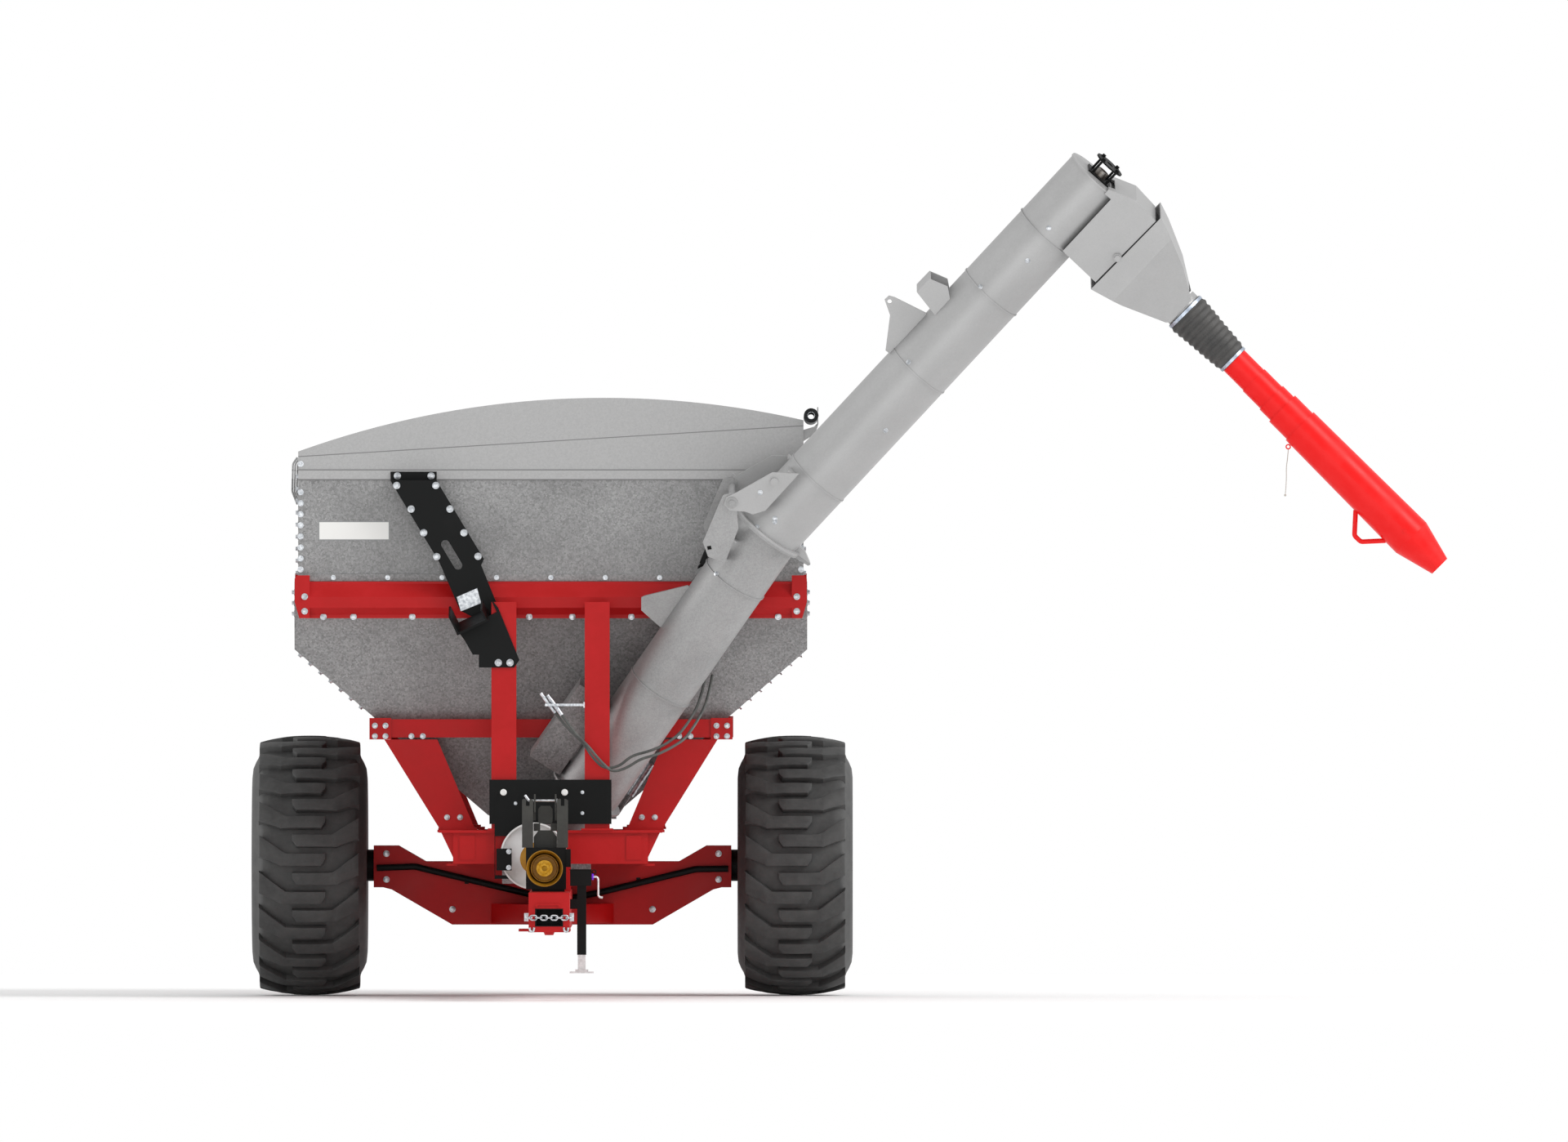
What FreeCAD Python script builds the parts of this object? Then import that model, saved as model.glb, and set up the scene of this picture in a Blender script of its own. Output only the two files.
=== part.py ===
import FreeCAD, Part
import math
import os

# Single-axle auger grain cart with a folding unloading auger, in millimetres.
# Front (hitch) faces -Y, +Z is up. Heights in this file are above the ground; save() moves
# everything down by hitchHeight, so that the origin is the middle of the hitch pin's bore.

V = FreeCAD.Vector
os.makedirs("parts", exist_ok=True)

# ---------------------------------------------------------------- driving dimensions
hitchHeight = 513.0        # bore middle above the ground
plate = 6.0                # hopper sheet, with its ribs counted in
runGap = 0.3               # gap between faces that slide or touch across a joint
fitGap = 0.05              # radial clearance of a shaft in its bore
seatGap = 0.15             # around a tube that is clamped or welded into a ring

tyreRadius = 805.0         # 28L-26 flotation tyre
tyreWidth = 714.0
rimRadius = 330.0
track = 3010.0             # between the tyres' middles
axleY = 4050.0
axleZ = 805.0

wallY = 1975.0             # front face of the hopper's upper wall
hopperLength = 3950.0
hopperHalf = 1556.0        # half width above the middle beam
hopperHalfLow = 1579.0     # half width below it
beamLowZ = 2340.0          # middle beam
beamHighZ = 2566.0
beamDepth = 100.0
kneeZ = 2148.0             # where the sides start to slope in
sumpZ = 1125.0             # where the slope meets the trough
sumpHalf = 390.0
troughRadius = 185.0
troughZ = 1060.0
floorTubeRadius = 177.0     # the closed tube between the sump and the boot
leftTopZ = 3350.0          # side wall tops
rightTopZ = 3545.0
frontLean = 0.41           # slope of the lower front wall, run over fall
rearLean = 0.95
gableCentreX = 329.0       # the gable's arch
gableRadius = 5543.0
gableTopZ = 3697.0

tubeRadius = 206.0         # auger tube, outside
tubeWall = 5.0
flightRadius = 190.0
floorFlightRadius = 158.0
shaftRadius = 38.0
flightPitch = 330.0
flightThick = 8.0
lowerTubeLength = 2480.0
upperTubeLength = 3010.0
ringRadius = 240.0
ringThick = 14.0
jointX = 1336.5            # where the two tubes' axes meet
jointY = 1480.0
jointZ = 2873.6
foldTilt = 13.5            # the fold axis rises this many degrees going back
hingeSide = 320.0          # fold axis from the tube joint, across and above the flanges
hingeUp = 52.0
pinRadius = 20.0
hingePlateOut = 222.0      # outer faces of the lower hinge plates, from the tube's middle
hingePlate = 12.0

spoutLength = 968.0
spoutWall = 3.0
spoutDiameters = [179.0, 190.0, 204.0, 226.0, 263.0]
lastTopDiameter = 243.0     # the last sleeve widens towards its cone
spoutTops = [400.0, 620.0, 773.0, 867.0, 1020.0]
spoutEnds = [1300.0, 1500.0, 1650.0, 1800.0, 1988.0]
tipRadius = 66.0
eyeOut = 17.0 + 0.2        # rope eye's middle, out from the last sleeve
tipLength = 248.0

ptoX = -29.0
ptoZ = 812.0
discX = -103.0             # the guarded drive behind the panel
discZ = 879.0

columnY = 1615.0           # front face of the two front columns
columnDepth = 108.0
columnSpread = 287.0
columnWidth = 153.0
columnTopZ = 2440.0
chassisTopZ = 1036.0
chassisLowZ = 830.0
chassisHalf = 600.0
chassisEndY = 5500.0
chassisFrontY = 1630.0
drawbarHalf = 125.0
drawbarLowZ = 438.0
drawbarHighZ = 664.0

# ---------------------------------------------------------------- helpers
def unit(vector):
    return V(vector).normalize()


def flat(points):
    return Part.Face(Part.makePolygon(points + [points[0]]))


# A prism from a two-dimensional outline: points are (y, z), (x, z) or (x, y) for axis X, Y, Z.
def prism(axis, points, low, high):
    place = {"X": lambda a, b: V(low, a, b), "Y": lambda a, b: V(a, low, b), "Z": lambda a, b: V(a, b, low)}
    along = {"X": V(1, 0, 0), "Y": V(0, 1, 0), "Z": V(0, 0, 1)}
    return flat([place[axis](a, b) for a, b in points]).extrude(along[axis] * (high - low))


def box(x0, x1, y0, y1, z0, z1):
    return Part.makeBox(x1 - x0, y1 - y0, z1 - z0, V(x0, y0, z0))


def rod(start, end, radius):
    return Part.makeCylinder(radius, (end - start).Length, start, end - start)


def pipe(start, end, radius, wall):
    return rod(start, end, radius).cut(rod(start, end, radius - wall))


def ring(start, axis, length, outer, inner):
    end = start + unit(axis) * length
    return rod(start, end, outer).cut(rod(start, end, inner))


# A solid turned about an axis from an outline of (along, radius) points.
def turned(origin, axis, outline):
    side = unit(axis).cross(V(0, 0, 1))
    if side.Length < 0.1:
        side = V(1, 0, 0)
    side = unit(side)
    points = [origin + unit(axis) * a + side * r for a, r in outline]
    return flat(points).revolve(origin, unit(axis), 360)


# A bolt head with its washer, standing on a surface at place, pointing along axis.
def bolt(place, axis, width=24.0, high=13.0):
    out = unit(axis)
    side = out.cross(V(0, 0, 1))
    if side.Length < 0.1:
        side = out.cross(V(0, 1, 0))
    side = unit(side)
    other = out.cross(side)
    reach = width / math.sqrt(3)
    corners = []
    for step in range(6):
        turn = math.radians(60 * step)
        corners.append(place + out * 3 + side * (reach * math.cos(turn)) + other * (reach * math.sin(turn)))
    head = flat(corners).extrude(out * high)
    washer = Part.makeCylinder(width * 0.78, 3, place, out)
    return washer.fuse(head).removeSplitter()


# Local frames: a shape built about the Z axis is put at an origin with its own axes.
class Seat:
    def __init__(self, origin, x, y, z):
        self.origin, self.x, self.y, self.z = origin, x, y, z

    def point(self, x, y, z):
        return self.origin + self.x * x + self.y * y + self.z * z

    def put(self, shape):
        x, y, z, o = self.x, self.y, self.z, self.origin
        matrix = FreeCAD.Matrix(x.x, y.x, z.x, o.x, x.y, y.y, z.y, o.y, x.z, y.z, z.z, o.z, 0, 0, 0, 1)
        moved = shape.copy()
        moved.Placement = FreeCAD.Placement(matrix).multiply(moved.Placement)
        return moved


# A round bar through points, its corners rounded by arcs as large as the two runs allow.
def bentBar(points, radius, name="", bend=0.0):
    edges = []
    start = points[0]
    for index in range(1, len(points) - 1):
        before = points[index] - points[index - 1]
        after = points[index + 1] - points[index]
        turn = before.getAngle(after)
        shorter = min(before.Length, after.Length)
        cutBack = 0.45 * shorter
        if bend:
            cutBack = min(cutBack, bend * math.tan(turn / 2))
        a = points[index] - unit(before) * cutBack
        b = points[index] + unit(after) * cutBack
        arcRadius = cutBack / math.tan(turn / 2)
        middle = points[index] + unit(unit(after) - unit(before)) * (arcRadius / math.cos(turn / 2) - arcRadius)
        edges.append(Part.LineSegment(start, a).toShape())
        edges.append(Part.Arc(a, middle, b).toShape())
        start = b
        if name:
            print(name, "arc", index, "radius", round(arcRadius, 1))
    edges.append(Part.LineSegment(start, points[-1]).toShape())
    path = Part.Wire(edges)
    first = points[1] - points[0]
    section = Part.Wire(Part.makeCircle(radius, points[0], first))
    bar = path.makePipeShell([section], True, False)
    if bar.Volume < 0:
        bar.reverse()
    return Part.Solid(bar) if bar.ShapeType != "Solid" else bar


def save(node, shapes):
    solids = []
    for shape in shapes:
        for solid in shape.Solids:
            moved = solid.copy()
            moved.translate(V(0, 0, -hitchHeight))
            if moved.Volume < 0:
                moved.reverse()
            if not moved.isValid():
                print("NOT VALID", node)
            solids.append(moved)
    whole = Part.makeCompound(solids) if len(solids) > 1 else solids[0]
    whole.exportStep("parts/" + node + ".step")
    print(node, len(solids), "solids", round(sum(s.Volume for s in solids) / 1e6, 2), "litres")


# ---------------------------------------------------------------- hopper
rearY = wallY + hopperLength


def gableArch(x, inset):
    return gableTopZ - gableRadius + math.sqrt((gableRadius - inset) ** 2 - (x - gableCentreX) ** 2)


# Front-view outline of the hopper, inset by the sheet's thickness where asked.
def frontOutline(inset, top):
    half = hopperHalf - inset
    low = hopperHalfLow - inset
    slope = (sumpHalf - hopperHalfLow) / (kneeZ - sumpZ)
    shift = inset * math.hypot(1, slope) / abs(slope)
    sump = sumpHalf - inset
    sumpAt = sumpZ + shift - inset / abs(slope)
    right = [(half, top), (half, beamHighZ), (low, beamHighZ), (low, kneeZ + shift * 0.2), (sump, sumpAt)]
    left = [(-x, z) for x, z in reversed(right)]
    return right + left


def sideY(z, rear):
    if rear:
        return rearY - rearLean * max(0.0, kneeZ - z)
    return wallY + frontLean * max(0.0, beamLowZ - z)


# Bands of the two end walls in side view: (y, z) outlines, upper and lower sheet.
def endBands(rear):
    knee = kneeZ if rear else beamLowZ
    inner = -plate if rear else plate
    lean = rearLean if rear else frontLean
    drop = inner * math.hypot(1, lean)
    top = 3800.0
    upper = [(sideY(top, rear), top), (sideY(knee, rear), knee), (sideY(knee, rear) + drop, knee),
             (sideY(knee, rear) + inner, knee + 20), (sideY(top, rear) + inner, top)]
    lower = [(sideY(knee, rear), knee), (sideY(sumpZ, rear), sumpZ), (sideY(sumpZ, rear) + drop, sumpZ),
             (sideY(knee, rear) + drop, knee)]
    return upper, lower


def innerSide():
    frontDrop = plate * math.hypot(1, frontLean)
    rearDrop = plate * math.hypot(1, rearLean)
    return [(wallY + plate, 3800), (wallY + plate, beamLowZ + 20), (wallY + frontDrop, beamLowZ),
            (sideY(sumpZ, False) + frontDrop, sumpZ), (sideY(sumpZ, True) - rearDrop, sumpZ),
            (rearY - rearDrop, kneeZ), (rearY - plate, kneeZ + 20), (rearY - plate, 3800)]


def hopper():
    outline = frontOutline(0, 3800.0)
    whole = prism("Y", outline, wallY - 10, rearY + 10)
    arch = Part.makeCylinder(gableRadius, hopperLength + 40, V(gableCentreX, wallY - 20, gableTopZ - gableRadius),
                             V(0, 1, 0))
    ends = []
    tubeMouth = rod(V(0, bootBackY, troughZ), V(0, bootBackY + 500, troughZ), floorTubeRadius - plate)
    for rear in (False, True):
        for band in endBands(rear):
            ends.append(prism("X", band, -hopperHalfLow, hopperHalfLow).common(whole).common(arch).cut(tubeMouth))
    # a folded rim stands in front of the top of the front wall and behind the rear one
    for y0, y1 in ((wallY - 8, wallY), (rearY, rearY + 8)):
        ends.append(box(-hopperHalf, hopperHalf, y0, y1, 3194, 3253))
        ends.append(box(-hopperHalfLow + 40, hopperHalfLow - 40, y0, y1, beamHighZ + 2, beamHighZ + 46))
    save("hopper_ends", ends)

    inside = prism("X", innerSide(), -hopperHalfLow - 10, hopperHalfLow + 10)
    walls = []
    for sign, top in ((-1, leftTopZ), (1, rightTopZ)):
        x = hopperHalf * sign
        xLow = hopperHalfLow * sign
        t = plate * sign
        slope = (hopperHalfLow - sumpHalf) / (kneeZ - sumpZ)
        across = plate * math.hypot(1, slope) / 1.0 * sign
        upper = [(x, beamHighZ), (x, top), (x - t, top), (x - t, beamHighZ)]
        middle = [(xLow, kneeZ), (xLow, beamHighZ), (x - t, beamHighZ), (xLow - across, kneeZ)]
        sloping = [(xLow, kneeZ), (xLow - across, kneeZ), (sumpHalf * sign - across, sumpZ), (sumpHalf * sign, sumpZ)]
        for band in (upper, middle, sloping):
            walls.append(prism("Y", band, wallY, rearY).common(inside))
    save("hopper_sides", walls)


def trough():
    # the trough under the sump: two shallow wings and a round bottom, closed at the rear
    front = sideY(sumpZ, False) + plate * 1.2
    rear = sideY(sumpZ, True) - plate * 1.5
    parts = []
    outer = [(-sumpHalf, sumpZ), (-troughRadius, troughZ), (troughRadius, troughZ), (sumpHalf, sumpZ)]
    wings = prism("Y", outer, front, rear)
    wings = wings.fuse(Part.makeCylinder(troughRadius, rear - front, V(0, front, troughZ), V(0, 1, 0)))
    t = plate
    hollow = [(-sumpHalf + 3 * t, sumpZ), (-troughRadius + t, troughZ), (troughRadius - t, troughZ),
              (sumpHalf - 3 * t, sumpZ)]
    cavity = prism("Y", hollow, front - 1, rear + 1)
    cavity = cavity.fuse(box(-troughRadius + t, troughRadius - t, front - 1, rear + 1, troughZ, sumpZ + 60))
    cavity = cavity.fuse(Part.makeCylinder(troughRadius - t, rear - front + 2, V(0, front - 1, troughZ), V(0, 1, 0)))
    shell = wings.cut(cavity).cut(box(-600, 600, front - 1, rear + 1, sumpZ, sumpZ + 200))
    parts.append(shell)
    closed = prism("Y", outer, rear, rear + 8)
    closed = closed.fuse(Part.makeCylinder(troughRadius, 8, V(0, rear, troughZ), V(0, 1, 0)))
    closed = closed.cut(box(-600, 600, rear - 1, rear + 9, sumpZ, sumpZ + 200))
    closed = closed.cut(Part.makeCylinder(shaftRadius + fitGap, 20, V(0, rear - 5, troughZ), V(0, 1, 0)))
    parts.append(closed.removeSplitter())
    # the closed tube from the sump forward to the boot
    behind = prism("X", [(sideY(sumpZ + 300, False), sumpZ + 300), (sideY(sumpZ, False), sumpZ), (front + 300, sumpZ),
                         (front + 300, sumpZ + 300)], -300, 300)
    parts.append(pipe(V(0, bootBackY, troughZ), V(0, front, troughZ), floorTubeRadius, t).cut(behind))
    return parts, front, rear


def frameBolts(place, axis, count, step, width=24.0):
    return [bolt(place + step * i, axis, width) for i in range(count)]


def hopperBolts():
    bolts = []
    slope = unit(V(hopperHalfLow - sumpHalf, 0, kneeZ - sumpZ))
    out = V(slope.z, 0, -slope.x)
    for end, y in ((-1, wallY), (1, rearY)):
        for sign in (-1, 1):
            # up the corners, facing forward or back and facing sideways
            bolts += frameBolts(V(sign * (hopperHalf - 15), y, 2640), V(0, end, 0), 8, V(0, 0, 68))
            bolts += frameBolts(V(sign * (hopperHalf - 15), y, 3290), V(0, end, 0), 1, V(0, 0, 68))
            yIn = y - end * 26
            bolts += frameBolts(V(sign * hopperHalf, yIn, 2620), V(sign, 0, 0), 9, V(0, 0, 74))
            bolts += frameBolts(V(sign * hopperHalfLow, yIn, 2368), V(sign, 0, 0), 3, V(0, 0, 66))
            for step in range(7):
                fall = 50 + 82 * step
                z = kneeZ - slope.z * fall
                place = V(sign * (hopperHalfLow - slope.x * fall), sideY(z, end > 0) - end * 26, z)
                bolts.append(bolt(place, V(out.x * sign, 0, out.z)))
    # along the top of the lower frame beam and the gable seam
    for x in range(-1340, 1341, 335):
        bolts.append(bolt(V(x, wallY - 8, 2590), V(0, -1, 0), 20))
    save("hopper_bolts", bolts)


def topBows():
    bows = []
    y = wallY + 60
    while y < rearY - 20:
        points = []
        reach = hopperHalf - plate - 40 - 2 * runGap
        for x in (-reach, -1000, -450, 150, 700, 1200, reach):
            points.append(V(x, y, gableArch(x, 0) - (34 if abs(x) < reach else 56)))
        bow = bentBar(points, 13, bend=3000)
        for sign, top in ((-1, leftTopZ), (1, rightTopZ)):
            x = sign * (hopperHalf - plate - 20 - runGap)
            bow = bow.cut(rod(V(x, y - 60, top - 25), V(x, y + 60, top - 25), 20 + seatGap))
        bows.append(bow)
        y += 760
    # pipe along the top of each side wall carries the bows' feet
    for sign, top in ((-1, leftTopZ), (1, rightTopZ)):
        x = sign * (hopperHalf - plate - 20 - runGap)
        bows.append(pipe(V(x, wallY + plate + 2, top - 25), V(x, rearY - plate - 2, top - 25), 20, 4))
    # thin bent hooks that hold the cover's edge, outside the left wall
    for y in (wallY + 90, wallY + 1300, wallY + 2600, rearY - 90):
        x = -hopperHalf
        route = [V(x - 6.3, y, 3040), V(x - 38, y, 3120), V(x - 34, y, 3290), V(x - 6.3, y, 3330)]
        bows.append(bentBar(route, 6, bend=40))
    return bows


def tarp():
    x, z = 1603.5, 3588.0
    roll = rod(V(x, wallY - 30, z), V(x, rearY + 20, z), 47)
    roll = roll.cut(box(x - 14, x + 14, wallY - 31, wallY + 30, z - 14, z + 14))
    save("tarp_roll", [roll])
    parts = []
    for y in (wallY + 20, wallY + 1300, wallY + 2600, rearY - 70):
        shelf = prism("Y", [(hopperHalf + 0.0, 3440), (hopperHalf + 76, 3488), (hopperHalf + 92, 3540),
                            (hopperHalf + 86, 3541), (hopperHalf + 66, 3520), (hopperHalf, 3500)], y, y + 40)
        shelf = shelf.cut(rod(V(x, y - 1, z), V(x, y + 41, z), 47.3))
        parts.append(shelf)
    parts.append(rod(V(hopperHalf + 88, wallY + 64 + runGap, 3535), V(hopperHalf + 88, wallY + 64 + runGap, 3640), 4))
    parts[-1] = parts[-1].cut(rod(V(x, wallY - 30, z), V(x, rearY, z), 47.3))
    save("top_bows", topBows() + parts)


# ---------------------------------------------------------------- frame
def middleBeam():
    depth = beamDepth
    parts = []
    for end, y in ((-1, wallY), (1, rearY)):
        outline = [(0, beamLowZ), (0, beamHighZ), (depth * 0.45, beamHighZ), (depth * 0.45, beamHighZ - 14),
                   (depth, beamHighZ - 96), (depth, beamHighZ - 162), (depth * 0.6, beamLowZ + 22),
                   (depth * 0.6, beamLowZ)]
        points = [(y + end * a, b) for a, b in outline]
        beam = prism("X", points, -1484, 1484)
        inner = [(6, beamLowZ + 6), (6, beamHighZ - 6), (depth * 0.45 - 6, beamHighZ - 6),
                 (depth * 0.45 - 6, beamHighZ - 17), (depth - 6, beamHighZ - 98), (depth - 6, beamHighZ - 160),
                 (depth * 0.6 - 6, beamLowZ + 20), (depth * 0.6 - 6, beamLowZ + 6)]
        beam = beam.cut(prism("X", [(y + end * a, b) for a, b in inner], -1490, 1490))
        parts.append(beam)
        for sign in (-1, 1):
            shape = [(1484, beamLowZ), (1484, 2604), (1560, 2604), (1577, 2584), (1577, 2440), (1548, beamLowZ)]
            block = prism("Y", [(sign * a, b) for a, b in shape], *sorted((y + end * depth, y + end * (depth - 8))))
            parts.append(block)
            cheek = box(*sorted((sign * 1484, sign * 1492)), *sorted((y, y + end * (depth - 8))),
                        beamLowZ, beamHighZ)
            parts.append(cheek)
    for sign in (-1, 1):
        x0, x1 = sorted((sign * hopperHalf, sign * (hopperHalf + 20)))
        parts.append(box(x0, x1, wallY + 60, rearY - 60, beamHighZ, beamHighZ + 50))
    save("mid_frame", parts)


lowBeamLowZ = 1605.0
lowBeamHighZ = 1717.0
lowBeamHalf = 1115.0


def lowerFrame():
    parts = []
    slope = (hopperHalfLow - sumpHalf) / (kneeZ - sumpZ)

    def sideX(z):
        return hopperHalfLow - (kneeZ - z) * slope + 2 * runGap

    for rear in (False, True):
        end = 1 if rear else -1
        seatHigh = sideY(lowBeamHighZ, rear) + end * 2 * runGap
        seatLow = sideY(lowBeamLowZ, rear) + end * 2 * runGap
        faceY = sideY(lowBeamHighZ, rear) + end * 70
        outline = [(seatHigh, lowBeamHighZ), (seatLow, lowBeamLowZ), (faceY, lowBeamLowZ), (faceY, lowBeamHighZ)]
        parts.append(prism("X", outline, -lowBeamHalf, lowBeamHalf))
        for sign in (-1, 1):
            corner = box(*sorted((sign * 985, sign * (lowBeamHalf + 4))), *sorted((faceY, faceY + end * 8)),
                         lowBeamLowZ - 12, lowBeamHighZ + 8)
            parts.append(corner)
            # leaning posts from the beam down to the chassis: a wide plate with a turned outer edge
            top0, top1, low0, low1 = 700, 1027, 472, 690
            postZ = chassisTopZ + 12
            web = [(sign * top0, lowBeamLowZ - 12.5), (sign * top1, lowBeamLowZ - 12.5), (sign * low1, postZ),
                   (sign * low0, postZ)]
            y0, y1 = sorted((faceY + end * 8, faceY + end * 0))
            parts.append(prism("Y", web, y0, y1))
            edge = [(sign * (top1 - 12), lowBeamLowZ - 12.5), (sign * top1, lowBeamLowZ - 12.5),
                    (sign * low1, postZ), (sign * (low1 - 10), postZ)]
            inner0, inner1 = sorted((faceY - end * 0.2, faceY - end * 66))
            parts.append(prism("Y", edge, inner0, inner1))
            foot = box(*sorted((sign * 455, sign * 695)), *sorted((faceY + end * 10, faceY - end * 120)),
                       chassisTopZ, postZ)
            parts.append(foot)
    frontY = sideY(lowBeamHighZ, False)
    rearEdge = sideY(lowBeamHighZ, True)
    for sign in (-1, 1):
        outline = [(sideX(lowBeamHighZ), lowBeamHighZ), (sideX(lowBeamLowZ), lowBeamLowZ),
                   (lowBeamHalf, lowBeamLowZ), (lowBeamHalf, lowBeamHighZ)]
        beam = prism("Y", [(sign * a, b) for a, b in outline], frontY + 90, rearEdge - 110)
        parts.append(beam)
    save("lower_frame", parts)


def columns():
    parts = []
    for sign in (-1, 1):
        x0, x1 = sorted((sign * (columnSpread - columnWidth / 2), sign * (columnSpread + columnWidth / 2)))
        outer = box(x0, x1, columnY, columnY + columnDepth, chassisTopZ + 12, columnTopZ)
        inner = box(x0 + 6, x1 - 6, columnY + 6, columnY + columnDepth - 6, chassisTopZ + 18, columnTopZ - 6)
        parts.append(outer.cut(inner))
        parts.append(box(x0 - 22, x1 + 22, columnY - 14, columnY + columnDepth + 14, chassisTopZ, chassisTopZ + 12))
        # bracket that ties the column's head back to the middle beam
        parts.append(box(max(x0 + 10, -312), x1 - 10, columnY + columnDepth, wallY - beamDepth, columnTopZ - 44,
                         columnTopZ - 4))
    save("frame_columns", parts)


def chassis():
    parts = []
    frontY = chassisFrontY
    # front cross member: box, with the wide flange on top that carries the columns and posts
    outer = box(-chassisHalf, chassisHalf, frontY, frontY + 170, chassisLowZ, chassisTopZ - 15)
    outer = outer.cut(box(-chassisHalf + 8, chassisHalf - 8, frontY + 8, frontY + 162, chassisLowZ + 8,
                          chassisTopZ - 23))
    parts.append(outer)
    parts.append(box(-688, 688, frontY - 20, frontY + 190, chassisTopZ - 15, chassisTopZ))
    rearEdge = sideY(lowBeamHighZ, True)
    postY = sideY(lowBeamHighZ, False) - 70
    for low, high in ((postY - 30, postY + 150), (rearEdge - 90, rearEdge + 90)):
        for sign in (-1, 1):
            parts.append(box(*sorted((sign * 430, sign * 700)), low, high, chassisTopZ - 15, chassisTopZ))
    for sign in (-1, 1):
        x0, x1 = sorted((sign * 470, sign * 570))
        parts.append(box(x0, x1, frontY + 170, chassisEndY, chassisLowZ, chassisTopZ - 15))
        # gusset beyond the cross member's end and pad on its face
        wedge = [(sign * chassisHalf, chassisTopZ - 15), (sign * 672, chassisTopZ - 15), (sign * chassisHalf, 870)]
        parts.append(prism("Y", wedge, frontY + 20, frontY + 150))
        parts.append(box(*sorted((sign * 465, sign * 560)), frontY - 6, frontY, 855, 1005))
        ear = box(*sorted((sign * 575, sign * 640)), frontY + 20, frontY + 150, chassisLowZ - 12, chassisLowZ)
        parts.append(ear)
        # clamps that hold the rails to the axle beam
        parts.append(box(*sorted((sign * 570, sign * 590)), axleY - 150, axleY + 150, chassisLowZ, 900))
    parts.append(box(-470, 470, chassisEndY - 120, chassisEndY, chassisLowZ, chassisTopZ - 15))
    # pedestal down to the drawbar
    parts.append(box(-drawbarHalf, drawbarHalf, frontY + 10, frontY + 160, drawbarHighZ, chassisLowZ))
    save("chassis_frame", parts)


def axleBeam():
    half = [(0, 830), (785, 830), (955, 928), (1109, 928), (1109, 669), (1050, 669), (998, 656), (622, 438), (0, 438)]
    outline = half + [(-x, z) for x, z in reversed(half[1:-1])]
    beam = prism("Y", outline, axleY - 150, axleY + 150)
    inner = [(x * 0.985 if x else 0, z - 8 if z > 700 else z + 8) for x, z in half]
    inner = [(-1080, 915), (-955, 918), (-780, 820), (780, 820), (955, 918), (1080, 915), (1080, 682), (1046, 682),
             (994, 668), (620, 448), (-620, 448), (-994, 668), (-1046, 682), (-1080, 682)]
    beam = beam.cut(prism("Y", inner, axleY - 140, axleY + 140))
    save("axle_beam", [beam])


def hubs():
    parts = []
    for sign in (-1, 1):
        start = V(sign * 1109, axleY, axleZ)
        parts.append(turned(start, V(sign, 0, 0), [(0, 0), (0, 98), (46, 98), (46, 70), (110, 62), (110, 50),
                                                   (430, 50), (430, 0)]))
    # bent pipes along the front of the axle beam, from the drawbar's sides out to the hubs
    y = axleY - 150 - 21
    inner = drawbarHalf + runGap
    left = [V(-1090, y, 790), V(-852, y, 798), V(-760, y, 775), V(-inner + 20, y, 618)]
    right = [V(inner - 20, y, 599), V(304, y, 640), V(890, y, 782), V(1090, y, 784)]
    middle = box(-inner, inner, y - 30, y + 30, drawbarLowZ, drawbarHighZ)
    parts.append(bentBar(left, 20, bend=120).cut(middle))
    parts.append(bentBar(right, 20, bend=120).cut(middle))
    for sign in (-1, 1):
        parts.append(box(*sorted((sign * 1050, sign * 1080)), y + 20 + runGap, axleY - 150, 770, 805))
        parts.append(box(*sorted((sign * 520, sign * 545)), y + 20 + runGap, axleY - 150, 690, 730))
    save("axle_hubs", parts)


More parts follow.
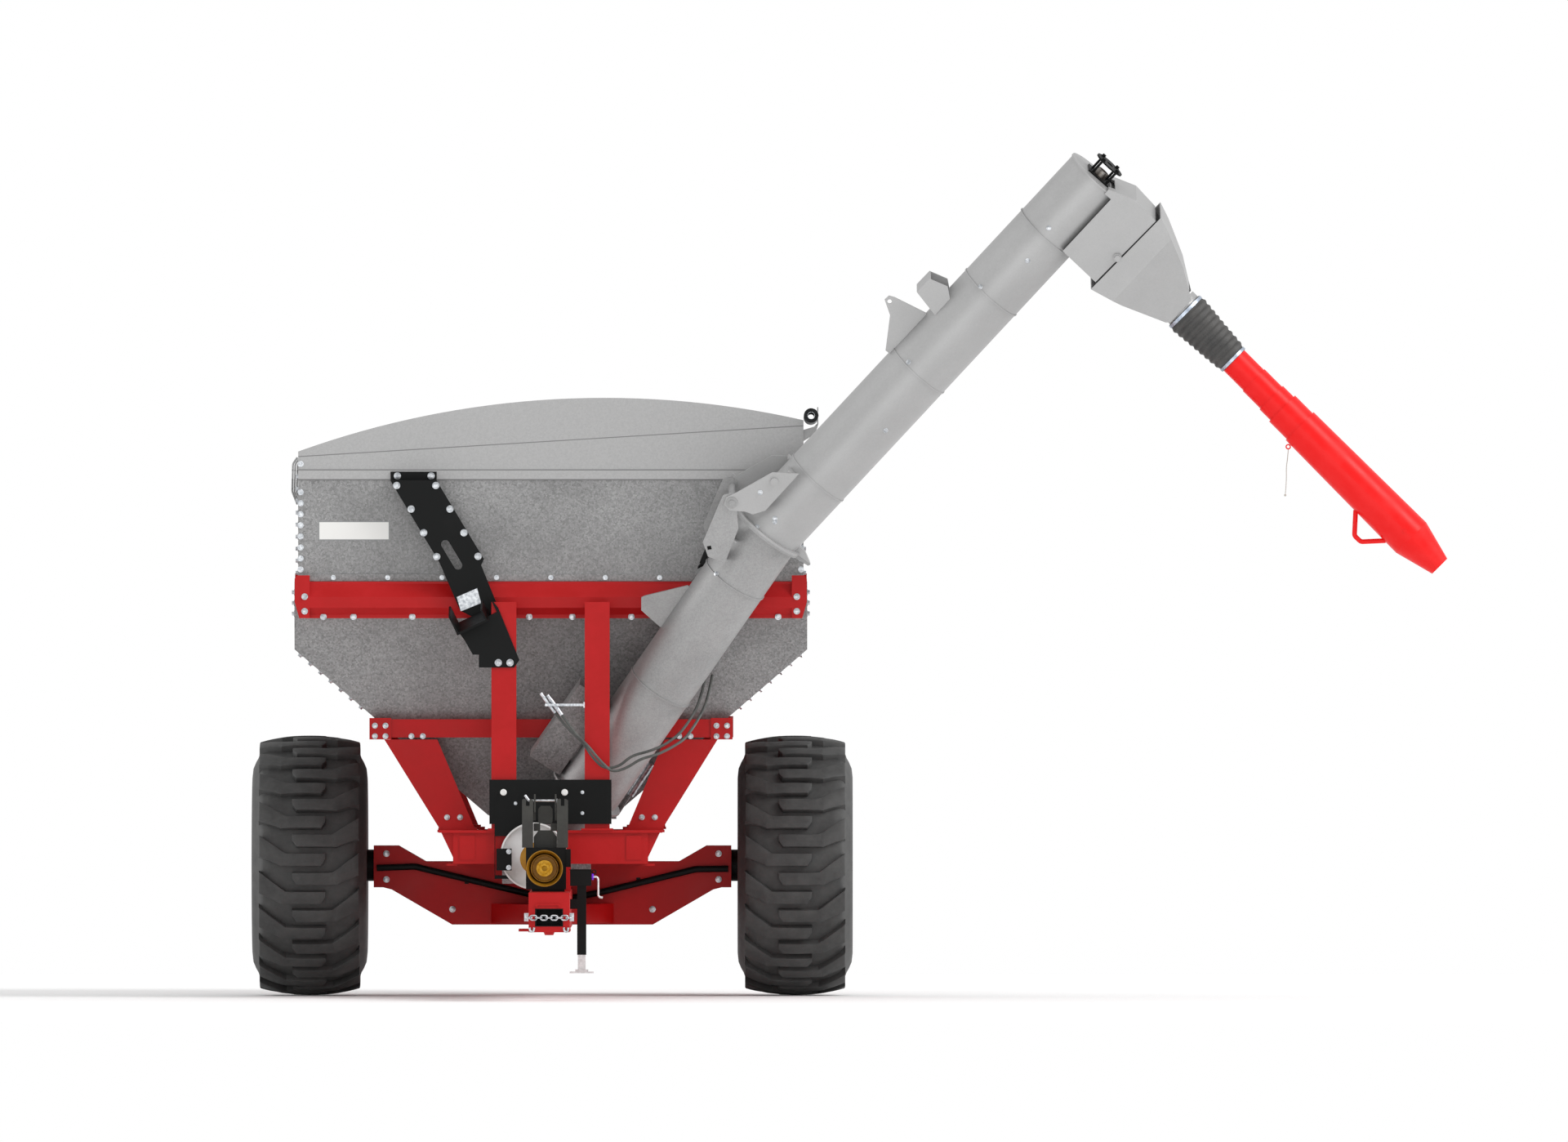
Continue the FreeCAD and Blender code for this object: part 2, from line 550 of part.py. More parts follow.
def wheel(side, sign):
    centre = V(sign * track / 2, axleY, axleZ)
    axis = V(1, 0, 0)
    half = tyreWidth / 2
    r = tyreRadius
    outer = [(-289, rimRadius + 4), (-289, rimRadius + 26), (-325, rimRadius + 40), (-half, 560), (-half, 620), (-half + 20, 715),
             (-half + 46, r - 30), (-200, r - 8), (0, r), (200, r - 8), (half - 46, r - 30), (half - 20, 715),
             (half, 620), (half, 560), (325, rimRadius + 40), (289, rimRadius + 26),
             (289, rimRadius + 4)]
    inner = [(262, rimRadius + 4), (292, rimRadius + 60), (half - 28, 560), (half - 28, 620), (half - 46, 700),
             (half - 76, r - 96), (0, r - 84), (-half + 76, r - 96), (-half + 46, 700), (-half + 28, 620),
             (-half + 28, 560), (-292, rimRadius + 60), (-262, rimRadius + 4)]
    save("tyre_" + side, [turned(centre, axis, outer + inner)])
    # rim: barrel with lips, and a dished disc bolted to the hub
    rim = [(-300, rimRadius + 24), (-300, rimRadius - 6), (-230, rimRadius - 30), (230, rimRadius - 30),
           (300, rimRadius - 6), (300, rimRadius + 24), (294, rimRadius + 24), (290, rimRadius + 3.7),
           (-290, rimRadius + 3.7), (-294, rimRadius + 24)]
    parts = [turned(centre, axis, rim)]
    discAt = centre + V(sign * 40, 0, 0)
    out = V(sign, 0, 0)
    disc = turned(discAt, out, [(-30, 112), (-30, 166), (20, 226), (20, rimRadius - 30.1), (32, rimRadius - 30.1),
                                (32, 219), (-18, 156), (-18, 112)])
    for step in range(8):
        turn = math.radians(45 * step + 22.5)
        at = discAt + V(0, math.cos(turn), math.sin(turn)) * 260
        disc = disc.cut(rod(at - out * 10, at + out * 60, 26))
    parts.append(disc)
    # hub: runs on the spindle, and its cap closes it
    spindleEnd = 1109 + 430
    hubFrom = V(sign * 1235, axleY, axleZ)
    capAt = spindleEnd + 12 - 1235
    hub = turned(hubFrom, out, [(0, 50 + fitGap), (0, 95), (252, 95), (252, 145), (280, 145), (280, 80),
                                (capAt, 80), (capAt + 10, 60), (capAt + 10, 0), (capAt - 8, 0), (capAt - 8, 50 + fitGap)])
    parts.append(hub)
    discFace = sign * (track / 2 + 40 - 18)
    for step in range(10):
        turn = math.radians(36 * step)
        at = V(discFace, axleY, axleZ) + V(0, math.cos(turn), math.sin(turn)) * 132
        parts.append(bolt(at, out, 24, 20))
    save("rim_" + side, parts)


def drawbar():
    parts = []
    endY = axleY - 150
    outer = box(-drawbarHalf, drawbarHalf, 118, endY, drawbarLowZ, drawbarHighZ)
    outer = outer.cut(box(-drawbarHalf + 8, drawbarHalf - 8, 126, endY - 8, drawbarLowZ + 8, drawbarHighZ - 8))
    parts.append(outer)
    # flared gussets where the drawbar meets the axle beam
    for sign in (-1, 1):
        flare = [(sign * drawbarHalf, endY - 700), (sign * 380, endY - 0), (sign * drawbarHalf, endY)]
        parts.append(prism("Z", flare, drawbarLowZ + 10, drawbarLowZ + 130))
    parts.append(box(-189, 128, 400, 900, drawbarLowZ - 14, drawbarLowZ))
    save("drawbar", parts)


def hitch():
    # welded head: cheeks, upper and lower ears with the pin's bore, and a lip above the mouth
    low, high = 423.0, drawbarHighZ
    mouthLow, mouthHigh = 458.0, 568.0
    head = box(-drawbarHalf, drawbarHalf, -75, 118, low, high)
    head = head.cut(box(-86, 86, -76, 96, mouthLow, mouthHigh))
    boss = Part.makeCone(34, 26, 18, V(0, 0, low), V(0, 0, -1))
    head = head.fuse(boss).cut(rod(V(0, 0, low - 30), V(0, 0, high + 1), hitchBoreRadius))
    head = head.cut(box(-60, 60, -40, 60, 600, high + 1))
    head = head.removeSplitter()
    parts = [head]
    lip = box(-82, 70, -87, -75, 576, 596).cut(box(-70, 58, -88, -74, 576 - 1, 588))
    parts.append(lip)
    save("hitch_head", parts)
    # wear liner in the mouth
    liner = box(-85.7, 85.7, -72, 95.7, mouthLow + 0.3, mouthHigh - 0.3)
    liner = liner.cut(box(-78, 78, -73, 88, mouthLow + 6, mouthHigh - 6))
    liner = liner.cut(rod(V(0, 0, 440), V(0, 0, 600), hitchBoreRadius + 4))
    save("hitch_liner", [liner])
    chain = []
    y = -96.0
    z = 512.0
    for index in range(7):
        x = -95.1 + 31.7 * index
        chain.append(chainLink(V(x, y, z), V(1, 0, 0), index % 2 == 0, 52, 38, 5))
    for sign in (-1, 1):
        chain.append(box(*sorted((sign * 125, sign * 152)), -40, 20, 490, 540))
        hook = bentBar([V(sign * 134, -40.3, 512), V(sign * 134, -83, 512), V(sign * 105.8, -84, 512),
                        V(sign * 105.8, -112, 512)], 5, bend=6)
        chain.append(hook)
        back = -75 - 7 - runGap
        chain.append(bentBar([V(sign * 90, back, 452), V(sign * 96, back, 427), V(sign * 114, back, 427),
                              V(sign * 118, back, 452)], 7, bend=14))
    save("safety_chain", chain)


# One chain link about a middle point, lying along an axis, upright or flat.
def chainLink(middle, along, upright, length, width, radius):
    a = unit(along)
    across = V(0, 0, 1) if upright else V(0, 1, 0)
    across = unit(across - a * across.dot(a))
    bend = width / 2 - radius
    reach = length / 2 - radius - bend
    c0, c1 = middle - a * reach, middle + a * reach
    wire = Part.Wire([
        Part.LineSegment(c0 + across * bend, c1 + across * bend).toShape(),
        Part.Arc(c1 + across * bend, c1 + a * bend, c1 - across * bend).toShape(),
        Part.LineSegment(c1 - across * bend, c0 - across * bend).toShape(),
        Part.Arc(c0 - across * bend, c0 - a * bend, c0 + across * bend).toShape()])
    section = Part.Wire(Part.makeCircle(radius, c0 + across * bend, a))
    link = wire.makePipeShell([section], True, False)
    return link


hitchBoreRadius = 17.0


def jack():
    x = 196.0
    y = 720.0
    body = box(x - 28, x + 28, y - 28, y + 28, 279, 760)
    body = body.cut(box(x - 24, x + 24, y - 24, y + 24, 270, 700))
    head = box(x - 71, x + 59, y - 40, y + 40, 701, 797).cut(box(x - 28, x + 28, y - 28, y + 28, 690, 760))
    mount = box(drawbarHalf, x - 28, y - 30, y + 30, 560, 620)
    cap = box(x - 76, x + 60, y - 44, y + 44, 797, 803)
    pull = ring(V(x + 75.5, y - 5, 787), V(0, 1, 0), 10, 15, 8)
    stem = rod(V(x + 59, y, 787), V(x + 60.5 - runGap, y, 787), 5)
    save("jack_body", [body, head, mount, cap, pull, stem])
    leg = box(x - 23.7, x + 23.7, y - 23.7, y + 23.7, 189, 640)
    leg = leg.cut(box(x - 19, x + 19, y - 19, y + 19, 188, 641))
    foot = box(x - 74, x + 73, y - 70, y + 70, 166, 175)
    foot = foot.fuse(box(x - 40, x + 40, y - 40, y + 40, 175, 189)).removeSplitter()
    save("jack_leg", [leg, foot])
    crankZ = 757.0
    side = x + 59
    route = [V(side + 0.5, y, crankZ), V(side + 41, y, crankZ), V(side + 41, y, crankZ - 122),
             V(side + 70, y, crankZ - 128)]
    arm = bentBar(route, 7, bend=18)
    save("jack_crank", [arm])


# ---------------------------------------------------------------- drive line
boxFront = 930.0
boxBack = 1040.0


def driveLine():
    # support box on the drawbar: carries the shaft's bearing, with a stand and flanged bearing
    y0, y1 = boxFront, boxBack
    shell = box(-147, 99, y0, y1, 678, 934)
    shell = shell.cut(box(-135, 87, y0 + 12, y1 - 12, 690, 922))
    shell = shell.cut(rod(V(ptoX, y0 - 1, ptoZ), V(ptoX, y1 + 1, ptoZ), 42))
    stand = box(-110, 90, y0 + 10, y1 - 10, drawbarHighZ, 678)
    bearings = []
    for y in (y0 - 18, y1):
        bearings.append(ring(V(ptoX, y, ptoZ), V(0, 1, 0), 18, 62, 22 + fitGap))
    fitting = box(99, 128, y0 - 6, y0 + 60, 815, 925)
    parts = [shell, stand, fitting] + bearings
    save("pto_box", parts)

    # guards: cones held still by their chains, on plain bearing rings of the two shafts
    guards = []
    front = V(ptoX, 150, ptoZ)
    way = V(0, 1, 0)
    guards.append(turned(front, way, [(0, 112), (0, 108), (150, 80), (190, 62), (620, 48), (620, 52), (190, 66),
                                      (152, 84)]))
    guards.append(turned(front, way, [(60, 84), (60, 80), (110, 70), (110, 74)]))
    guards.append(turned(front, way, [(590, 33 + fitGap), (590, 48.4), (602, 48.1), (602, 33 + fitGap)]))
    guards.append(turned(front, way, [(86, 34 + fitGap), (86, 74.4), (92, 73.2), (92, 34 + fitGap)]))
    rearStart = V(ptoX, boxBack + 90, ptoZ)
    rearEnd = V(discX, 1470, discZ)
    along = unit(rearEnd - rearStart)
    guards.append(turned(rearStart + along * 40, along, [(0, 80), (0, 76), (60, 52), (230, 52), (245, 96), (245, 100),
                                                         (226, 56), (62, 56)]))
    guards.append(turned(rearStart + along * 140, along, [(0, 24 + fitGap), (0, 51.7), (10, 51.7), (10, 24 + fitGap)]))
    save("pto_guards", guards)

    # front shaft: splined yoke, telescoping tubes, out through the support box to a ball joint
    shaft = turned(V(ptoX, 165, ptoZ), way, [(0, 17), (0, 30), (22, 30), (22, 50), (40, 50), (40, 34), (100, 34),
                                             (110, 26), (520, 26), (520, 0), (60, 0), (60, 17)])
    for step in range(5):
        turn = math.radians(90 + 72 * step)
        at = V(ptoX, 165 + 22, ptoZ) + V(math.cos(turn), 0, math.sin(turn)) * 40
        shaft = shaft.fuse(Part.makeCylinder(6, 8, at, V(0, -1, 0)))
    shaft = shaft.removeSplitter()
    nose = boxFront - 165 - 40
    tail = boxBack + 40 - 165
    back = turned(V(ptoX, 165, ptoZ), way, [(520, 0), (520, 33), (nose, 33), (nose, 22), (tail, 22), (tail, 42),
                                            (tail + 50, 42), (tail + 50, 0)])
    back = back.cut(Part.makeSphere(30 + runGap, rearStart))
    save("pto_front_shaft", [shaft, back])
    reach = (rearEnd - rearStart).Length
    rear = turned(rearStart, along, [(0, 0), (0, 14), (50, 14), (60, 24), (reach - 60, 24), (reach - 50, 14),
                                     (reach, 14), (reach, 0)])
    rear = rear.fuse(Part.makeSphere(30, rearStart)).fuse(Part.makeSphere(30, rearEnd)).removeSplitter()
    save("pto_rear_shaft", [rear])
    # gearbox behind the guard disc, on the chassis front cross member's face
    gearFace = 1565.0
    gear = box(discX - 95, discX + 95, gearFace, chassisFrontY, discZ - 95, discZ + 110)
    gear = gear.cut(rod(V(discX, gearFace - 1, discZ), V(discX, gearFace + 50, discZ), 26 + fitGap))
    coupling = turned(rearEnd, way, [(0, 0), (0, 42), (50, 42), (50, 26), (140, 26), (140, 0)])
    coupling = coupling.cut(Part.makeSphere(30 + runGap, rearEnd))
    save("drive_input", [coupling])
    dish = turned(V(discX, 1500, discZ), V(0, 1, 0), [(0, 206), (0, 196), (52, 196), (52, 62), (58, 62), (58, 206)])
    dish = dish.cut(box(discX - 300, discX - 190, 1499, 1560, discZ - 30, discZ + 30))
    bracket = box(-332, -238, 1488, 1500, 790, 925)
    strap = box(-332, -311, 1500, chassisFrontY, 800, 915)
    arms = [box(-311, discX - 95, gearFace + 4, gearFace + 16, z, z + 20) for z in (806, 889)]
    rimClips = [box(discX - 95 - 12, discX - 95, 1558, gearFace + 4, discZ - 20, discZ + 20)]
    studs = [bolt(V(-256, 1488, z), V(0, -1, 0), 20) for z in (808, 906)]
    save("guard_disc", [dish])
    save("drive_gearbox", [gear, bracket, strap] + arms + rimClips)
    return studs


def cradle():
    y0 = boxFront + 4
    y1 = boxBack - 4
    z0 = 934.0
    parts = []
    for sign in (-1, 1):
        centre = ptoX + sign * 107 - 1
        outline = [(centre - 34, z0), (centre + 34, z0), (centre + 34, 1225), (centre + 18, 1233), (centre + 12, 1233),
                   (centre + 12, 1190), (centre - 10, 1190), (centre - 10, 1233), (centre - 28, 1233),
                   (centre - 34, 1225)]
        parts.append(prism("Y", outline, y0, y0 + 14))
        parts.append(box(centre - 6, centre + 6, y0 + 14, y1, z0, 1150))
    arch = prism("Y", [(-100, z0), (42, z0), (42, 1000), (15, 1036), (-73, 1036), (-100, 1000)], y1 - 10, y1)
    parts.append(arch)
    tab = [(-73, 1095), (-66, 1083), (9, 1083), (16, 1095), (16, 1170), (0, 1190), (-57, 1190), (-73, 1170)]
    parts.append(prism("Y", tab, y1 - 10, y1))
    parts.append(box(-100, 42, y1 - 10, y1, 1036, 1083).cut(box(-60, 4, y1 - 11, y1 + 1, 1040, 1083 + 1)))
    for sign in (-1, 1):
        centre = ptoX + sign * 64
        plateEar = prism("X", [(y0 + 20, 1150), (y1, 1150), (y1, 1245), (y0 + 55, 1262), (y0 + 20, 1235)],
                         centre - 5, centre + 5)
        pinHole = rod(V(centre - 20, y0 + 52, 1222), V(centre + 20, y0 + 52, 1222), 8 + fitGap)
        parts.append(plateEar.cut(pinHole))
        parts.append(box(*sorted((centre - sign * 5, ptoX + sign * 107 - 1 - sign * 6)), y1 - 10, y1, 1100, 1149.9))
    save("pto_cradle", parts)
    pinY = y0 + 52
    left = ptoX - 64 - 36
    right = ptoX + 64 + 12
    shape = bentBar([V(left - 24, pinY, 1256), V(left, pinY, 1222), V(right, pinY, 1222)], 8, bend=20)
    ringAt = ring(V(right - 6, pinY, 1213.3), V(1, 0, 0), 4, 22, 17)
    save("cradle_pin", [shape, ringAt])


def panel():
    y0 = columnY - 22
    top = 1348.0
    low = 1075.0
    parts = []
    sheet = prism("Y", [(-376, low), (-344, low), (-344, 738), (-143, 738), (-143, low), (375, low), (375, top),
                        (-376, top)], y0, y0 + 8)
    sheet = sheet.cut(box(-340, discX + 105, y0 - 1, y0 + 9, 760, 1000))
    parts.append(sheet)
    for sign in (-1, 1):
        x0, x1 = sorted((sign * 375, sign * 367))
        parts.append(box(x0, x1, y0 + 8, columnY, low + 5, top))
    for x in (-289, 87):
        parts.append(turned(V(x, y0, 1270), V(0, -1, 0), [(0, 0), (0, 12), (14, 12), (14, 20), (34, 20), (40, 14),
                                                          (40, 0)]))
    save("control_panel", parts)
    studs = [bolt(V(-215, y0, 1202), V(0, -1, 0), 14, 6), bolt(V(196, y0, 1270), V(0, -1, 0), 14, 6),
             bolt(V(196, y0, 1142), V(0, -1, 0), 14, 6)]
    return studs


# ---------------------------------------------------------------- auger
tilt = math.radians(foldTilt)
foldAxis = V(0, math.cos(tilt), math.sin(tilt))
joint = V(jointX, jointY, jointZ)
upperAlong = unit(V(0.682, -math.tan(tilt) * 0.7314, 0.7314))
lowerAlong = unit(V(0.5486, -0.2756, 0.7893))
lowerBack = unit(foldAxis - lowerAlong * foldAxis.dot(lowerAlong))
upper = Seat(joint, foldAxis.cross(upperAlong), foldAxis, upperAlong)
lower = Seat(joint, lowerBack.cross(lowerAlong), lowerBack, lowerAlong)
lowerFlatAlong = unit(lowerAlong - foldAxis * lowerAlong.dot(foldAxis))
lowerFlat = Seat(joint, foldAxis.cross(lowerFlatAlong), foldAxis, lowerFlatAlong)
flangeNormal = upperAlong + lowerAlong
flangeNormal = unit(flangeNormal - foldAxis * flangeNormal.dot(foldAxis))
flangeSide = flangeNormal.cross(foldAxis)
flange = Seat(joint, flangeSide * -1, foldAxis, flangeNormal)
hinge = joint + flangeSide * hingeSide + flangeNormal * hingeUp
hingeSeat = Seat(hinge, flangeSide * -1, foldAxis, flangeNormal)
bootBackY = 2385.0
bootTop = 1085.0


# Half of space on one side of the flange plane, as a big block.
def halfSpace(above):
    size = 5000.0
    block = Part.makeBox(size, size, size, V(-size / 2, -size / 2, runGap / 2 if above else -size - runGap / 2))
    return flange.put(block)


# One continuous flight about the local Z axis, as a ribbon of flat facets that winds round the shaft.
def screwFlight(seat, start, length, outer):
    steps = 16
    count = int(length / flightPitch * steps)
    inner = (shaftRadius + runGap) / math.cos(math.pi / steps)
    rows = []
    for index in range(count + 1):
        turn = 2 * math.pi * index / steps
        z = start + index * flightPitch / steps
        row = []
        for radius, lift in ((inner, 0), (outer, 0), (outer, flightThick), (inner, flightThick)):
            row.append(seat.point(radius * math.cos(turn), radius * math.sin(turn), z + lift))
        rows.append(row)
    faces = []
    for row, after in zip(rows, rows[1:]):
        for a in range(4):
            b = (a + 1) % 4
            faces.append(flat([row[a], row[b], after[b]]))
            faces.append(flat([row[a], after[b], after[a]]))
    for row in (rows[0], rows[-1]):
        faces.append(flat([row[0], row[1], row[2]]))
        faces.append(flat([row[0], row[2], row[3]]))
    flight = Part.Solid(Part.Shell(faces))
    if flight.Volume < 0:
        flight.reverse()
    return flight


def lowerAuger():
    start = lower.point(0, 0, -lowerTubeLength)
    wall = pipe(start, lower.point(0, 0, 300), tubeRadius, tubeWall).common(halfSpace(False))
    collar = flange.put(ring(V(0, 0, -ringThick - runGap / 2), V(0, 0, 1), ringThick, ringRadius, tubeRadius + 1))
    collar = collar.cut(rod(start, lower.point(0, 0, 300), tubeRadius + seatGap))
    parts = [wall, collar]
    # seam ring and foot flange
    for z in (-372, -1210):
        parts.append(lower.put(ring(V(0, 0, z), V(0, 0, 1), 8, tubeRadius + 7, tubeRadius + seatGap)))
    parts.append(lower.put(ring(V(0, 0, -2040), V(0, 0, 1), 12, tubeRadius + 34, tubeRadius + seatGap)))
    # hinge plates, front and rear, with a web to the tube
    outline = [(-300, 118), (-352, 122), (-384, 84), (-372, 10), (-325, -232), (-248, -291), (-140, -264), (-190, -40),
               (-236, 18)]
    tubeCore = rod(start, lower.point(0, 0, 300), tubeRadius + seatGap)
    for sign in (-1, 1):
        y0, y1 = sorted((sign * (hingePlateOut - hingePlate), sign * hingePlateOut))
        cheek = lowerFlat.put(prism("Y", outline, y0, y1))
        cheek = cheek.cut(hingeSeat.put(rod(V(0, -400, 0), V(0, 400, 0), pinRadius + fitGap)))
        square = lowerFlat.put(prism("Y", [(-290, -240), (-272, -222), (-254, -240), (-272, -258)], y0 - 1, y1 + 1))
        parts.append(cheek.cut(square).cut(collar))
        web = lowerFlat.put(box(-236, -140, *sorted((sign * 90, sign * (hingePlateOut - hingePlate))), -262, -250))
        parts.append(web.cut(tubeCore))
        web = lowerFlat.put(box(-290, -150, *sorted((sign * 70, sign * (hingePlateOut - hingePlate))), -130, -118))
        parts.append(web.cut(tubeCore))
    # latch lug opposite the hinge
    lug = lower.put(prism("Y", [(196, -40), (322, -38), (330, -26), (326, 18), (196, -8)], -28, 28))
    parts.append(lug.cut(tubeCore).common(halfSpace(False)).cut(collar))
    # hanger bearing at the top of the lower screw, on three arms
    hanger = lower.put(ring(V(0, 0, -84), V(0, 0, 1), 20, 54, shaftRadius + fitGap))
    for turn in (90, 210, 330):
        arm = Part.makeBox(tubeRadius - tubeWall - seatGap - 50, 14, 10, V(50, -7, -79))
        arm.rotate(V(0, 0, 0), V(0, 0, 1), turn)
        hanger = hanger.fuse(lower.put(arm))
    parts.append(hanger.removeSplitter())
    save("lower_tube", parts + tubeBrackets() + cylinderLug() + foldHinge())
    shaft = lower.put(pipe(V(0, 0, -lowerTubeLength - 40), V(0, 0, -60), shaftRadius, 8))
    flight = screwFlight(lower, -lowerTubeLength + 20, lowerTubeLength - 110, flightRadius)
    save("lower_screw", [shaft, flight])


def boot():
    # box under the lower tube where the floor auger delivers, open to both
    y0, y1 = 1985.0, bootBackY
    outer = prism("X", [(y0, 770), (y0, 1085), (y1, bootTop + 150), (y1, 705), (y0 + 60, 705)], -300, 245)
    t = plate
    inner = prism("X", [(y0 + t, 772), (y0 + t, 1085 - t), (y1 - t, bootTop + 150 - t), (y1 - t, 711), (y0 + 63, 711)],
                  -294, 239)
    shell = outer.cut(inner)
    shell = shell.cut(rod(lower.point(0, 0, -lowerTubeLength - 1), lower.point(0, 0, -1000), tubeRadius + runGap))
    shell = shell.cut(rod(V(0, y1 - 20, troughZ), V(0, y1 + 20, troughZ), troughRadius - 8 - 6))
    solids = sorted(shell.Solids, key=lambda s: -s.Volume)
    parts = [solids[0]]
    parts.append(box(-110, 110, y0 + 90, y1 - 40, drawbarHighZ, 705))
    save("auger_boot", parts)


def sideDuct():
    # closed duct along the left of the lower tube, and the strut plates that hold the tube to the beam
    duct = lower.put(box(-430, -tubeRadius - 6, -88, 60, -2010, -1450))
    duct = duct.cut(lower.put(box(-424, -tubeRadius - 12, -82, 54, -2004, -1456)))
    straps = lower.put(box(-tubeRadius - 6, -150, -60, 20, -1900, -1560)).cut(
        rod(lower.point(0, 0, -2100), lower.point(0, 0, -1000), tubeRadius + seatGap))
    save("inlet_duct", [duct, straps])


def tubeBrackets():
    parts = []
    bracket = lower.put(prism("Y", [(-412, -791), (-400, -770), (-218, -566), (-190, -566), (-190, -884),
                                    (-217, -884), (-367, -860)], -8, 4))
    tubeCore = rod(lower.point(0, 0, -2100), lower.point(0, 0, 0), tubeRadius + seatGap)
    bracket = bracket.cut(tubeCore)
    parts.append(bracket)
    # arm from the bracket back to the middle beam's face
    armAt = lower.point(-330, 4, -800)
    parts.append(box(armAt.x - 30, armAt.x + 30, armAt.y + 12, wallY - beamDepth, 2395, 2440))
    # saddle that ties the tube to the hopper's lower front wall
    return parts


def upperAuger():
    tubeCore = upper.put(rod(V(0, 0, -300), V(0, 0, upperTubeLength), tubeRadius + seatGap))
    wall = upper.put(pipe(V(0, 0, -300), V(0, 0, upperTubeLength), tubeRadius, tubeWall)).common(halfSpace(True))
    mouth = upper.put(box(40, 260, -150, 150, 2600, 2960))
    wall = wall.cut(mouth)
    collar = flange.put(ring(V(0, 0, runGap / 2), V(0, 0, 1), ringThick, ringRadius, tubeRadius + 1)).cut(tubeCore)
    parts = [wall, collar]
    for z in (455, 1375, 2035):
        parts.append(upper.put(ring(V(0, 0, z), V(0, 0, 1), 8, tubeRadius + 5, tubeRadius + seatGap)))
    outline = [(-300, -18), (-352, -14), (-372, 30), (-346, 90), (-267, 336), (-140, 440), (-137, 130), (-177, 60),
               (-226, 40)]
    plateIn = hingePlateOut + runGap
    for sign in (-1, 1):
        y0, y1 = sorted((sign * plateIn, sign * (plateIn + hingePlate)))
        cheek = upper.put(prism("Y", outline, y0, y1))
        cheek = cheek.cut(hingeSeat.put(rod(V(0, -400, 0), V(0, 400, 0), pinRadius + fitGap)))
        boss = upper.put(Part.makeCylinder(24, 18, V(-220, y0 if sign < 0 else y1, 302), V(0, sign, 0)))
        if sign < 0:
            boss = upper.put(Part.makeCylinder(24, 14, V(-220, y0, 302), V(0, -1, 0)))
        parts.append(cheek)
        parts.append(boss)
        for z in (150, 400):
            web = upper.put(box(-200, -137, *sorted((sign * 100, sign * plateIn)), z, z + 12))
            parts.append(web.cut(tubeCore))
    lug = upper.put(prism("Y", [(-455, 1570), (-452, 1606), (-420, 1622), (-204, 1680), (-190, 1680), (-190, 1340),
                                (-236, 1337), (-365, 1520)], -30, -14))
    lug = lug.cut(upper.put(rod(V(-425, -40, 1582), V(-425, 0, 1582), 14))).cut(tubeCore)
    lug = lug.cut(upper.put(rod(V(0, 0, 1375 - runGap), V(0, 0, 1383 + runGap), tubeRadius + 5 + runGap)))
    parts.append(lug)
    cradleSide = [(-354, 1752), (-352, 1867), (-237, 1905), (-139, 1830), (-140, 1713)]
    saddle = upper.put(prism("Y", cradleSide, -110, 110)).cut(upper.put(box(-344, -100, -100, 100, 1700, 1910)))
    parts.append(saddle.cut(tubeCore))
    latch = upper.put(prism("Y", [(196, 8), (200, 60), (250, 64), (322, 30), (330, 12), (326, -20), (300, -40)],
                            -24, 24))
    parts.append(latch.cut(tubeCore).common(halfSpace(True)).cut(collar))
    cap = upper.put(Part.makeCylinder(tubeRadius + 6, 10, V(0, 0, upperTubeLength), V(0, 0, 1)))
    cap = cap.cut(upper.put(rod(V(0, 0, upperTubeLength - 5), V(0, 0, upperTubeLength + 20), shaftRadius + fitGap)))
    parts.append(cap)
    save("upper_tube", parts + [foldCrank()])
    shaft = upper.put(pipe(V(0, 0, 60), V(0, 0, upperTubeLength + 60), shaftRadius, 8))
    flight = screwFlight(upper, 100, 2780, flightRadius)
    save("upper_screw", [shaft, flight])

    # bearing cage on the top end: base plate, four rods, ring plate
    top = upperTubeLength + 10
    base = upper.put(box(-85, 85, -85, 85, top, top + 10))
    base = base.cut(upper.put(rod(V(0, 0, top - 1), V(0, 0, top + 20), shaftRadius + 2)))
    ringPlate = upper.put(ring(V(0, 0, top + 96), V(0, 0, 1), 10, 98, 24))
    cage = [base, ringPlate]
    for step in range(4):
        turn = math.radians(45 + 90 * step)
        x, y = 78 * math.cos(turn), 78 * math.sin(turn)
        cage.append(upper.put(rod(V(x, y, top + 10), V(x, y, top + 96), 8)))
        cage.append(bolt(upper.point(x, y, top + 106), upper.z, 22, 12))
    save("head_cage", cage)


hoodPivot = (395.0, 2756.0)  # hood's tilt axis, in the upper tube's frame
hoodHalf = 214.0


def dischargeChute():
    # folded sheet duct on the tube's mouth
    t = 5.0
    half = 205.0
    outline = [(120, 2560), (400, 2551), (416, 3083), (242, 3100), (68, 3036), (68, 3000), (120, 3000)]
    inner = [(110, 2566), (430, 2556), (430, 3077), (243, 3094), (74, 3032), (74, 2990), (110, 2990)]
    duct = upper.put(prism("Y", outline, -half, half)).cut(upper.put(prism("Y", inner, -half + t, half - t)))
    core = upper.put(rod(V(0, 0, -10), V(0, 0, upperTubeLength + 10.3), tubeRadius + 8.3))
    duct = duct.cut(core)
    duct = duct.cut(upper.put(box(-120, 110, -120, 120, upperTubeLength, upperTubeLength + 130)))
    solids = sorted(duct.Solids, key=lambda s: -s.Volume)
    parts = [solids[0]]
    rib = upper.put(ring(V(0, 0, 2546), V(0, 0, 1), 4, tubeRadius + 8, tubeRadius + seatGap))
    parts.append(rib)
    # pivot pins for the hood, with their heads outside it
    for sign in (-1, 1):
        place = upper.point(hoodPivot[0], sign * half, hoodPivot[1])
        out = upper.y * sign
        head = bolt(place + out * (hoodHalf - half + runGap), out, 34, 16)
        boss = rod(place, place + out * (hoodHalf - 4 - half - runGap), 20)
        parts.append(boss.fuse(rod(place, place + out * (hoodHalf - half + 6), 12)).fuse(head).removeSplitter())
    save("discharge_chute", parts)


